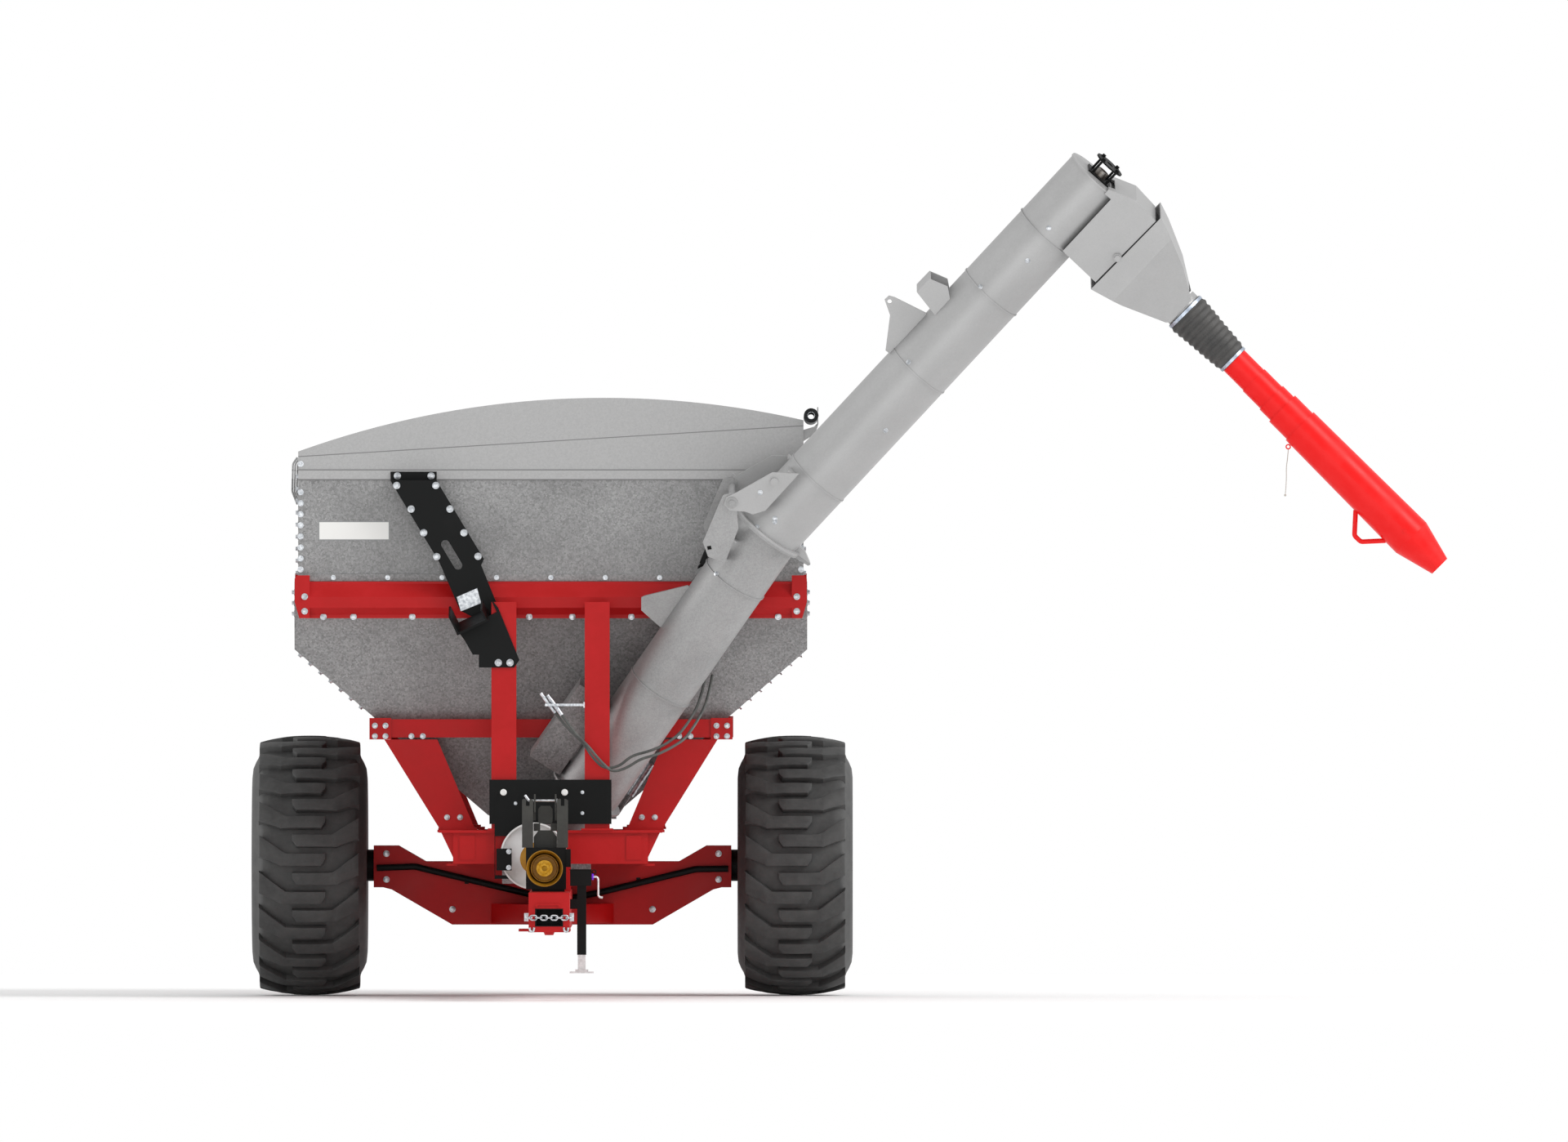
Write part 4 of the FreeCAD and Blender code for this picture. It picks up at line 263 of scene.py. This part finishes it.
def twistedFibre():
    # laid polyester cord: slanting strands a few millimetres long, off-white with grey dust
    material, tree, shader, place = startFinish("laidPolyesterCord", {"Roughness": 0.85, "IOR": 1.5})
    turned = addNode(tree, "ShaderNodeMapping", {"Vector": place, "Rotation": (0.0, math.radians(40), 0.0)})
    strand = addNode(tree, "ShaderNodeTexWave", {"Vector": turned.outputs["Vector"], "Scale": 1 / 0.022},
                     bands_direction="Z").outputs["Fac"]
    setColour(tree, shader, twoColours(tree, strand, "#8E8A80", "#D8D4CA"))
    setBump(tree, shader, strand, 0.6, 0.0008)
    return material


labelEdge = 0.006   # width of the keyline


def labelVinyl():
    # printed vinyl: plain off-white with a grey keyline and no print on it
    material, tree, shader, place = startFinish("printedVinyl", {"Roughness": 0.35, "IOR": 1.5})
    low, high = (Vector(corner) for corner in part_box("blank_label"))
    size = high - low
    middle = tuple((low + high) / 2)
    centred = addNode(tree, "ShaderNodeVectorMath", {0: place, 1: middle}, operation="SUBTRACT")
    axes = addNode(tree, "ShaderNodeSeparateXYZ", {"Vector": centred.outputs[0]})
    outside = []
    for axis, reach in (("X", size.x / 2), ("Z", size.z / 2)):
        away = addNode(tree, "ShaderNodeMath", {0: axes.outputs[axis]}, operation="ABSOLUTE")
        past = addNode(tree, "ShaderNodeMath", {0: away.outputs[0], 1: reach - labelEdge},
                       operation="GREATER_THAN")
        outside.append(past.outputs[0])
    line = addNode(tree, "ShaderNodeMath", {0: outside[0], 1: outside[1]}, operation="MAXIMUM").outputs[0]
    setColour(tree, shader, twoColours(tree, line, "#E4E4E1", "#8E9090", 0.4, 0.6))
    return material


# the hopper sheet is painted lighter above 2.681 m, standing in for the light on the upper walls and the
# shade on the lower ones
sheetZinc = galvanised("hotDipGalvanisedSheet", "#747474", "#A9A9A9", "#E4E4E4", 0.5, paintedLightAbove=2.681)
tubeZinc = galvanised("smoothGalvanisedTube", "#A8A8A8", "#B2B2B2", "#F4F4F4", 0.46, 0.2)
# painted shade: a darker copy of the tube zinc for the lower tube, standing in for the hopper's shadow on it
shadedLowerTubeZinc = galvanised("galvanisedTubeWithPaintedShade", "#949494", "#AEAEAE", "#E6E6E6", 0.5, 0.2)
frameRed = paint("sprayedRedEnamel", "#AC0608", "#B8161A", 0.42, sheen=0.25)
blackEnamel = paint("sprayedBlackEnamel", "#050606", "#0E1010", 0.45, sheen=0.18)
greyEnamel = paint("sprayedGreyEnamel", "#2B2B28", "#42423D", 0.5)
knobbedPanel = paint("sprayedPanelAndKnobs", "#050606", "#0E1010", 0.45, sheen=0.18, whiteBefore=1.590)
whiteEnamel = paint("sprayedWhiteEnamel", "#DADADA", "#BDBBB6", 0.4)
boltZinc = platedSteel("zincPlatedSteel", "#9DA1A6", "#DADDE0", 0.34)
bandSteel = platedSteel("blueChromateBand", "#A9B4C4", "#CBD4E0", 0.4)
brassPlate = platedSteel("yellowChromateSteel", "#A8781E", "#C79A3C", 0.4)
legZinc = platedSteel("brightZincTube", "#CBC8C8", "#E4E1E1", 0.45)
bareFlights = flightSteel()
spoutRed = mouldedPlastic("rotomouldedRedPlastic", "#EA0A0A", "#EE2222", 0.36, 0.003, sheen=0.25)
amber = mouldedPlastic("mouldedAmberPlastic", "#9A6C10", "#B5872A", 0.42, 0.002, sheen=0.3)
gripPurple = mouldedPlastic("dippedPurpleVinyl", "#7A10E6", "#8F3CF0", 0.4, 0.002)
tyreRubber = rubber("vulcanisedTyreRubber", "#333333", "#4A4A49", 0.62)
bellowsRubber = rubber("mouldedBellowsRubber", "#333333", "#4E4C4A", 0.6)
hoseRubber = rubber("braidCoveredHose", "#3A3C3A", "#5E605D", 0.6, 0.003)
tarpCloth = coatedCloth()
ropeFibre = twistedFibre()
vinyl = labelVinyl()

nodeFinishes = [
    (sheetZinc, "hopper_ends hopper_sides hopper_trough inlet_duct auger_boot gate_plate top_bows"),
    (shadedLowerTubeZinc, "lower_tube"),
    (tubeZinc, "upper_tube discharge_chute spout_hood"),
    (frameRed, "mid_frame lower_frame frame_columns chassis_frame axle_beam drawbar hitch_head"),
    (blackEnamel, "hitch_liner pto_box drive_gearbox rest_arm axle_hubs head_cage jack_body fold_barrel"),
    (knobbedPanel, "control_panel"),
    (greyEnamel, "pto_cradle drive_input"),
    (whiteEnamel, "guard_disc rim_left rim_right"),
    (boltZinc, "hopper_bolts frame_bolts cradle_pin safety_chain fold_rod hydraulic_fittings"),
    (legZinc, "jack_crank jack_leg"),
    (bandSteel, "bellows_clamps"),
    (brassPlate, "pto_front_shaft pto_rear_shaft"),
    (bareFlights, "floor_screw lower_screw upper_screw"),
    (spoutRed, "spout_a spout_b spout_c spout_d spout_e"),
    (amber, "pto_guards"),
    (hoseRubber, "hydraulic_hoses"),
    (vinyl, "blank_label"),
    (tyreRubber, "tyre_left tyre_right"),
    (bellowsRubber, "bellows"),
    (tarpCloth, "tarp_roll"),
    (ropeFibre, "spout_rope rope_knot"),
]
for finish, nodeNames in nodeFinishes:
    for node in nodeNames.split():
        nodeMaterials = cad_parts[node].data.materials
        nodeMaterials.clear()
        nodeMaterials.append(finish)
print("finishes on", sum(len(nodeNames.split()) for finish, nodeNames in nodeFinishes), "nodes")


# meshes

def finishPiece(name, mesh, material, body, sharp=35.0):
    data = bpy.data.meshes.new(name)
    mesh.to_mesh(data)
    mesh.free()
    data.materials.append(material)
    for face in data.polygons:
        face.use_smooth = True
    data.set_sharp_from_angle(angle=math.radians(sharp))
    piece = bpy.data.objects.new(name, data)
    bpy.context.collection.objects.link(piece)
    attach(piece, body)
    return piece


def spinOutline(mesh, outline, centre, axis, steps):
    # outline is (along the axis, out from it), and closes on itself
    axis = Vector(axis).normalized()
    out = axis.orthogonal().normalized()
    corners = [mesh.verts.new(Vector(centre) + axis * along + out * radius) for along, radius in outline]
    edges = [mesh.edges.new((a, b)) for a, b in zip(corners, corners[1:] + corners[:1])]
    bmesh.ops.spin(mesh, geom=corners + edges, cent=centre, axis=axis, angle=math.tau, steps=steps,
                   use_merge=True)
    bmesh.ops.remove_doubles(mesh, verts=mesh.verts, dist=1e-5)
    bmesh.ops.recalc_face_normals(mesh, faces=mesh.faces)


# tyres: wide flotation tyres with bars that cross the middle and sweep up to the shoulders

tyreSettings = {
    "bars": 21,              # each side, half a step apart
    "barHeight": 0.042,
    "treadRadius": 0.805,
    "treadHalf": 0.311,
    "shoulderDrop": 0.043,
    "buttress": 0.660,       # how far down the shoulder a bar's end reaches
    "bar": [(-0.104, 0.042), (-0.077, 0.0), (0.173, 0.0), (0.311, 0.060), (0.311, 0.206), (0.145, 0.080),
            (-0.104, 0.080)],
    "cuts": (-0.05, 0.0, 0.05, 0.1, 0.145, 0.173, 0.205, 0.24, 0.275),   # so that a bar can follow the crown
    "barBevel": 0.007,
    "sink": 0.006,           # how far a bar's foot goes into the casing
    "shoulderStart": 0.24,
    "casing": [(0.289, 0.334), (0.292, 0.352), (0.322, 0.372), (0.340, 0.410), (0.345, 0.416), (0.345, 0.424),
               (0.342, 0.430), (0.354, 0.490), (0.357, 0.545), (0.351, 0.600), (0.334, 0.640), (0.320, 0.664),
               (0.311, 0.690), (0.298, 0.716), (0.278, 0.736), (0.230, 0.748), (0.120, 0.759)],
    "hollow": [(-0.27, 0.336), (-0.31, 0.45), (-0.318, 0.56), (-0.28, 0.67)],
    "steps": 126,
}


def treadRadius(settings, across):
    share = min(abs(across) / settings["treadHalf"], 1.0)
    return settings["treadRadius"] - settings["shoulderDrop"] * share ** 2.3


def addBars(mesh, settings, centre, side):
    bar = bmesh.new()
    face = bar.faces.new([bar.verts.new((side * u, s, 0)) for u, s in settings["bar"]])
    face.normal_update()
    for cut in settings["cuts"]:
        parts = bar.verts[:] + bar.edges[:] + bar.faces[:]
        bmesh.ops.bisect_plane(bar, geom=parts, plane_co=(side * cut, 0, 0), plane_no=(1, 0, 0))
    top = bmesh.ops.extrude_face_region(bar, geom=bar.faces[:])["geom"]
    for vert in (v for v in top if isinstance(v, bmesh.types.BMVert)):
        vert.co.z = settings["barHeight"]
    bmesh.ops.recalc_face_normals(bar, faces=bar.faces)
    rim = [e for e in bar.edges if len(e.link_faces) == 2 and e.calc_face_angle() > 1.0
           and min(v.co.z for v in e.verts) > 0.03]
    bmesh.ops.bevel(bar, geom=rim, offset=settings["barBevel"], affect="EDGES", segments=2, profile=0.5,
                    material=-1)
    for vert in bar.verts:
        across, around, high = vert.co
        radius = treadRadius(settings, across) - settings["barHeight"]
        if high > 0.001:
            radius += high
        else:
            start = settings["shoulderStart"]
            shoulder = max(0.0, (abs(across) - start) / (settings["treadHalf"] - start))
            radius -= settings["sink"] + (radius - settings["buttress"]) * min(shoulder, 1.0)
        turn = around / settings["treadRadius"]
        vert.co = Vector(centre) + Vector((across, -math.cos(turn) * radius, math.sin(turn) * radius))
    step = math.tau / settings["bars"]
    if side > 0:
        turn = Matrix.Rotation(-step / 2, 3, "X")
        bmesh.ops.rotate(bar, verts=bar.verts, cent=centre, matrix=turn)
    bmesh.ops.spin(bar, geom=bar.verts[:] + bar.edges[:] + bar.faces[:], cent=centre, axis=(1, 0, 0),
                   angle=step * (settings["bars"] - 1), steps=settings["bars"] - 1, use_duplicate=True)
    bmesh.ops.recalc_face_normals(bar, faces=bar.faces)
    holder = bpy.data.meshes.new("bars")
    bar.to_mesh(holder)
    bar.free()
    mesh.from_mesh(holder)
    bpy.data.meshes.remove(holder)


def makeTyre(settings, side):
    node = "tyre_" + side
    low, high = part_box(node)
    centre = (Vector(low) + Vector(high)) / 2
    mesh = bmesh.new()
    crown = [(0.0, 0.763)]
    outer = settings["casing"] + crown + [(-x, r) for x, r in reversed(settings["casing"])]
    hollow = settings["hollow"]
    inner = hollow + [(0.0, 0.71)] + [(-x, r) for x, r in reversed(hollow)]
    spinOutline(mesh, outer + inner, centre, (1, 0, 0), settings["steps"])
    for way in (-1, 1):
        addBars(mesh, settings, centre, way)
    piece = finishPiece("lugged_tyre_" + side, mesh, tyreRubber, "wheel_" + side)
    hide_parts(node)


for side in ("left", "right"):
    makeTyre(tyreSettings, side)
print("tyres made")


# bellows between the hood and the first spout sleeve: moulded rubber with pleats

bellowsSettings = {
    "start": (3.8807, 1.1516, 3.7283),   # middle of the hood's outlet
    "along": (0.70711, 0.0, -0.70711),
    "rim": 0.016,                        # distances along, from the start
    "first": 0.046,
    "last": 0.420,
    "end": 0.450,
    "pleats": 9,
    "stepsToAPleat": 8,
    "steps": 72,
    "topRadius": 0.1300,
    "lowRadius": 0.0962,
    "pleatTop": 0.1400,
    "pleatLow": 0.1060,
    "depth": 0.0085,
    "wall": 0.004,
    "dents": 0.0022,
    "dentsToAMetre": 11,
}


def makeBellows(settings):
    mesh = bmesh.new()
    outline = [(settings["rim"], settings["topRadius"]), (settings["first"] - 0.004, settings["topRadius"])]
    steps = settings["pleats"] * settings["stepsToAPleat"]
    for index in range(steps + 1):
        share = index / steps
        along = settings["first"] + (settings["last"] - settings["first"]) * share
        crest = settings["pleatTop"] + (settings["pleatLow"] - settings["pleatTop"]) * share
        wave = 0.5 - 0.5 * math.cos(math.tau * settings["pleats"] * share)
        outline.append((along, crest - settings["depth"] * (1 - wave) ** 1.4))
    outline += [(settings["last"] + 0.006, settings["lowRadius"]), (settings["end"], settings["lowRadius"])]
    outline += [(along, radius - settings["wall"]) for along, radius in reversed(outline)]
    spinOutline(mesh, outline, settings["start"], settings["along"], settings["steps"])
    axis = Vector(settings["along"])
    for vert in mesh.verts:
        reach = vert.co - Vector(settings["start"])
        along = reach.dot(axis)
        if settings["first"] < along < settings["last"]:
            out = (reach - axis * along).normalized()
            vert.co += out * (noise.noise(vert.co * settings["dentsToAMetre"]) * settings["dents"])
    piece = finishPiece("pleated_bellows", mesh, bellowsRubber, "hood", 60.0)
    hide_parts("bellows")


makeBellows(bellowsSettings)
print("bellows made")


# fastenings: hexagon heads on washers; each place is (across, height) on the front, in metres,
# and the fastening is seated on the face of the solid piece that lies behind it

fasteningSettings = {
    "arm": {
        "places": [(-0.945, 2.703), (-0.737, 2.703), (-0.948, 2.644), (-0.707, 2.644), (-0.859, 2.499),
                   (-0.62, 2.499), (-0.782, 2.353), (-0.534, 2.353), (-0.702, 2.206), (-0.447, 2.208),
                   (-0.321, 1.554), (-0.249, 1.554), (-0.249, 1.785)],
        "on": ["rest_arm"], "size": 0.020, "body": "cart",
    },
    "beam": {
        "places": [(-1.215, 1.836), (-0.853, 1.836), (-0.133, 1.836), (0.133, 1.836), (0.496, 1.836),
                   (-1.40, 1.836), (1.40, 1.836), (-1.515, 1.96), (1.515, 1.96), (-1.515, 1.87),
                   (1.515, 1.87)],
        "on": ["mid_frame"], "size": 0.018, "body": "cart",
    },
    "lowBeam": {
        "places": [(sign * x, z) for sign in (-1, 1) for x in (1.02, 1.085) for z in (1.165, 1.10)],
        "on": ["lower_frame"], "size": 0.016, "body": "cart",
    },
    "posts": {
        "places": [(sign * x, z) for sign in (-1, 1) for x, z in ((0.56, 0.600), (0.64, 0.600), (0.86, 1.10),
                                                                 (0.79, 1.10))],
        "on": ["lower_frame"], "size": 0.016, "body": "cart",
    },
    "axle": {
        "places": [(sign * x, z) for sign in (-1, 1) for x, z in ((1.03, 0.365), (1.03, 0.205), (0.62, 0.02),
                                                                 (0.30, 0.02))],
        "on": ["axle_beam"], "size": 0.018, "body": "cart",
    },
    "tube": {
        "places": [(2.20, 3.40), (2.37, 3.02), (2.64, 3.86), (2.93, 4.02), (3.06, 4.22), (2.06, 2.98),
                   (1.27, 2.39), (1.38, 2.44), (1.29, 2.60), (1.38, 2.42)],
        "on": ["upper_tube"], "size": 0.014, "body": "upper_auger",
    },
    "hinge": {
        "places": [(1.02, 2.10)],
        "on": ["lower_tube"], "size": 0.014, "body": "cart",
    },
}


def faceAt(nodes, x, z):  # nearest face seen from the front, in line with that place
    nearest = None
    for node in nodes:
        hit, place, normal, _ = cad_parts[node].ray_cast(Vector((x, -3.0, z)), Vector((0, 1, 0)))
        if hit and (nearest is None or place.y < nearest[0].y):
            nearest = (place, normal)
    return nearest


fasteningShape = {       # sides, then radius, bottom and top as shares of a fastening's size
    "washer": (24, 1.15, 0.0, 0.16),   # its bottom is the sink below
    "head": (6, 0.86, 0.1, 0.75),
    "sink": 0.0005,      # how far the washer goes into the face, in metres
    "taper": 0.97,
    "bevel": 0.05,
}


def addFastening(mesh, place, normal, size):
    turn = normal.to_track_quat("Z", "Y").to_matrix().to_4x4()
    bevel = fasteningShape["bevel"]
    for part in ("washer", "head"):
        sides, radius, low, high = fasteningShape[part]
        radius, low, high = radius * size, low * size, high * size
        if part == "washer":
            low = -fasteningShape["sink"]
        seat = Matrix.Translation(place + normal * (low + high) / 2) @ turn
        made = bmesh.ops.create_cone(mesh, cap_ends=True, segments=sides, radius1=radius,
                                     radius2=radius * fasteningShape["taper"], depth=high - low, matrix=seat)
        edges = {e for v in made["verts"] for e in v.link_edges}
        top = [e for e in edges if all((v.co - place).dot(normal) > high - size * bevel for v in e.verts)]
        bmesh.ops.bevel(mesh, geom=top, offset=size * bevel, affect="EDGES", segments=2, profile=0.5,
                        material=-1)


def makeFastenings(name, group):
    mesh = bmesh.new()
    seated = 0
    for x, z in group["places"]:
        face = faceAt(group["on"], x, z)
        if face:  # a place that looks past the solid piece stays empty
            addFastening(mesh, *face, group["size"])
            seated += 1
    finishPiece(name + "_fastenings", mesh, boltZinc, group["body"], 30.0)
    print(name, "fastenings", seated, "of", len(group["places"]))


for name, group in fasteningSettings.items():
    makeFastenings(name, group)
print("fastenings made")


# dipped vinyl grip on the jack's crank, where its shaft leaves the head

gripSettings = {
    "start": (0.2565, 0.72, 0.244),
    "outline": [(0.0, 0.0105), (0.0, 0.017), (0.002, 0.0195), (0.011, 0.0195), (0.013, 0.017),
                (0.013, 0.0105)],
}


def makeGrip(settings):
    mesh = bmesh.new()
    spinOutline(mesh, settings["outline"], settings["start"], (1, 0, 0), 40)
    finishPiece("crank_grip_ring", mesh, gripPurple, "jack_crank")


makeGrip(gripSettings)
print("grip made")


# cover rolled up on the right-hand side: one cloth wound round a tube

coverSettings = {
    "turns": 16,
    "coreRadius": 0.0235,
    "segments": 28,          # to a turn
    "lengthParts": 40,
    "sag": 0.0012,
    "thickness": 0.0007,
    "skinRoom": 0.0006,      # kept free inside the solid roll
    "endGap": 0.002,
    "node": "tarp_roll",
}


def makeCover(settings):
    low, high = (Vector(corner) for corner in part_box(settings["node"]))
    middle = (low + high) / 2
    outer = (high.x - low.x) / 2 - settings["skinRoom"]
    length = high.y - low.y - 2 * settings["endGap"]
    mesh = bmesh.new()
    first = low.y - middle.y + settings["endGap"]
    start = mesh.verts.new(middle + Vector((settings["coreRadius"], first, 0)))
    count = settings["turns"] * settings["segments"]
    bmesh.ops.spin(mesh, geom=[start], cent=middle, axis=(0, 1, 0), steps=count,
                   angle=math.tau * settings["turns"])
    growth = (outer - settings["coreRadius"]) / count
    ordered = [start] + [v for v in mesh.verts if v != start]
    for index, vert in enumerate(ordered):
        out = Vector((vert.co.x - middle.x, 0, vert.co.z - middle.z)).normalized()
        vert.co += out * growth * index
    reach = length / settings["lengthParts"]
    row = mesh.edges[:]
    for _ in range(settings["lengthParts"]):
        grown = bmesh.ops.extrude_edge_only(mesh, edges=row)["geom"]
        moved = [g for g in grown if isinstance(g, bmesh.types.BMVert)]
        bmesh.ops.translate(mesh, verts=moved, vec=(0, reach, 0))
        row = [g for g in grown if isinstance(g, bmesh.types.BMEdge)]
    for vert in mesh.verts:
        out = Vector((vert.co.x - middle.x, 0, vert.co.z - middle.z))
        share = out.length / outer
        out.normalize()
        ripple = noise.noise(Vector((vert.co.y * 5, out.x * 1.5, out.z * 1.5)))
        vert.co += out * settings["sag"] * (ripple - 0.6) * share ** 4
    area = sum(face.calc_area() for face in mesh.faces)
    piece = finishPiece("rolled_cover", mesh, tarpCloth, "cart", 60.0)
    skin = piece.modifiers.new("thickness", "SOLIDIFY")
    skin.thickness = settings["thickness"]
    skin.offset = 0.0
    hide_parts(settings["node"])
    print("cover cloth", round(length, 3), "by", round(area / length, 3))
    return middle, low, high


coverMiddle, coverLow, coverHigh = makeCover(coverSettings)


# roll tube, inside the rolled cloth

rollTubeSettings = {"radius": 0.0225, "wall": 0.002, "endGap": 0.001, "segments": 24}


def makeRollTube(settings):
    mesh = bmesh.new()
    start = Vector((coverMiddle.x, coverLow.y + settings["endGap"], coverMiddle.z))
    length = coverHigh.y - coverLow.y - 2 * settings["endGap"]
    inner = settings["radius"] - settings["wall"]
    outline = [(0, inner), (0, settings["radius"]), (length, settings["radius"]), (length, inner)]
    spinOutline(mesh, outline, start, (0, 1, 0), settings["segments"])
    finishPiece("roll_tube", mesh, boltZinc, "cart")


makeRollTube(rollTubeSettings)
print("cover made")


# rope on the last spout sleeve: route points as in the solid model, in metres

ropeSettings = {
    "route": [(4.5319, 1.1516, 2.8631), (4.5279, 1.1516, 2.8084), (4.5199, 1.1516, 2.7534),
              (4.5209, 1.1516, 2.6984), (4.5189, 1.1516, 2.6434), (4.5139, 1.1516, 2.5884)],
    "diameter": 0.005,
}


def routeCurve(name, points, bevel):
    curve = bpy.data.curves.new(name, "CURVE")
    curve.dimensions = "3D"
    curve.resolution_u = 16
    curve.bevel_depth = bevel
    curve.bevel_resolution = 3
    curve.use_fill_caps = True
    spline = curve.splines.new("NURBS")
    spline.points.add(len(points) - 1)
    for point, place in zip(spline.points, points):
        point.co = (*place, 1.0)
    spline.order_u = 3
    spline.use_endpoint_u = True
    return curve


def makeRope(settings):
    curve = routeCurve("pull_rope", settings["route"], settings["diameter"] / 2)
    curve.materials.append(ropeFibre)
    rope = bpy.data.objects.new("pull_rope", curve)
    bpy.context.collection.objects.link(rope)
    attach(rope, "sleeve_e")
    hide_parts("spout_rope")


makeRope(ropeSettings)
print("rope made")


# studio: pale floor, white surround, a broad key light from the upper right, a low fill from the
# front, and a weak light from each side

studioSettings = {
    "floorHalf": 15.0,
    "floorColour": "#FFFFFF",
    "surround": 0.8,
    "keyPower": 1.25,
    "keyAngle": 25.0,        # degrees across the light's disc
    "keyFrom": (0.8, -0.5, 0.75),
    "fillPower": 1.25,
    "sidePower": 0.9,
    "fillFrom": (-0.1, -1.0, -0.5),
}


def makeStudio(settings):
    mesh = bmesh.new()
    bmesh.ops.create_grid(mesh, x_segments=1, y_segments=1, size=settings["floorHalf"])
    bmesh.ops.translate(mesh, verts=mesh.verts, vec=(1.5, 3.0, ground - 0.002))
    data = bpy.data.meshes.new("floor")
    mesh.to_mesh(data)
    mesh.free()
    floorPaint = bpy.data.materials.new("paleFloorPaint")
    floorPaint.use_nodes = True
    shader = floorPaint.node_tree.nodes["Principled BSDF"]
    shader.inputs["Base Color"].default_value = linear(settings["floorColour"])
    shader.inputs["Roughness"].default_value = 0.9
    data.materials.append(floorPaint)
    floor = bpy.data.objects.new("floor", data)
    bpy.context.collection.objects.link(floor)
    for name, power, come, angle in (("key", settings["keyPower"], settings["keyFrom"], settings["keyAngle"]),
                                     ("fill", settings["fillPower"], settings["fillFrom"], 60.0),
                                     ("left", settings["sidePower"], (-1.0, 0.12, 0.05), 20.0),
                                     ("right", settings["sidePower"], (1.0, 0.12, 0.05), 20.0)):
        light = bpy.data.lights.new(name, "SUN")
        light.energy = power
        light.angle = math.radians(angle)
        lamp = bpy.data.objects.new(name, light)
        lamp.rotation_euler = Vector(come).to_track_quat("Z", "Y").to_euler()
        bpy.context.collection.objects.link(lamp)
    world = bpy.data.worlds.new("studio")
    bpy.context.scene.world = world
    world.use_nodes = True
    tree = world.node_tree
    tree.nodes.clear()
    path = addNode(tree, "ShaderNodeLightPath")
    around = addNode(tree, "ShaderNodeBackground", {"Color": (1, 1, 1, 1), "Strength": settings["surround"]})
    behind = addNode(tree, "ShaderNodeBackground", {"Color": (1, 1, 1, 1), "Strength": 1.0})
    both = addNode(tree, "ShaderNodeMixShader", {"Fac": path.outputs["Is Camera Ray"]})
    tree.links.new(around.outputs[0], both.inputs[1])
    tree.links.new(behind.outputs[0], both.inputs[2])
    addNode(tree, "ShaderNodeOutputWorld", {"Surface": both.outputs[0]})
    bpy.context.scene.view_settings.view_transform = "Standard"


makeStudio(studioSettings)

print("pieces ready")
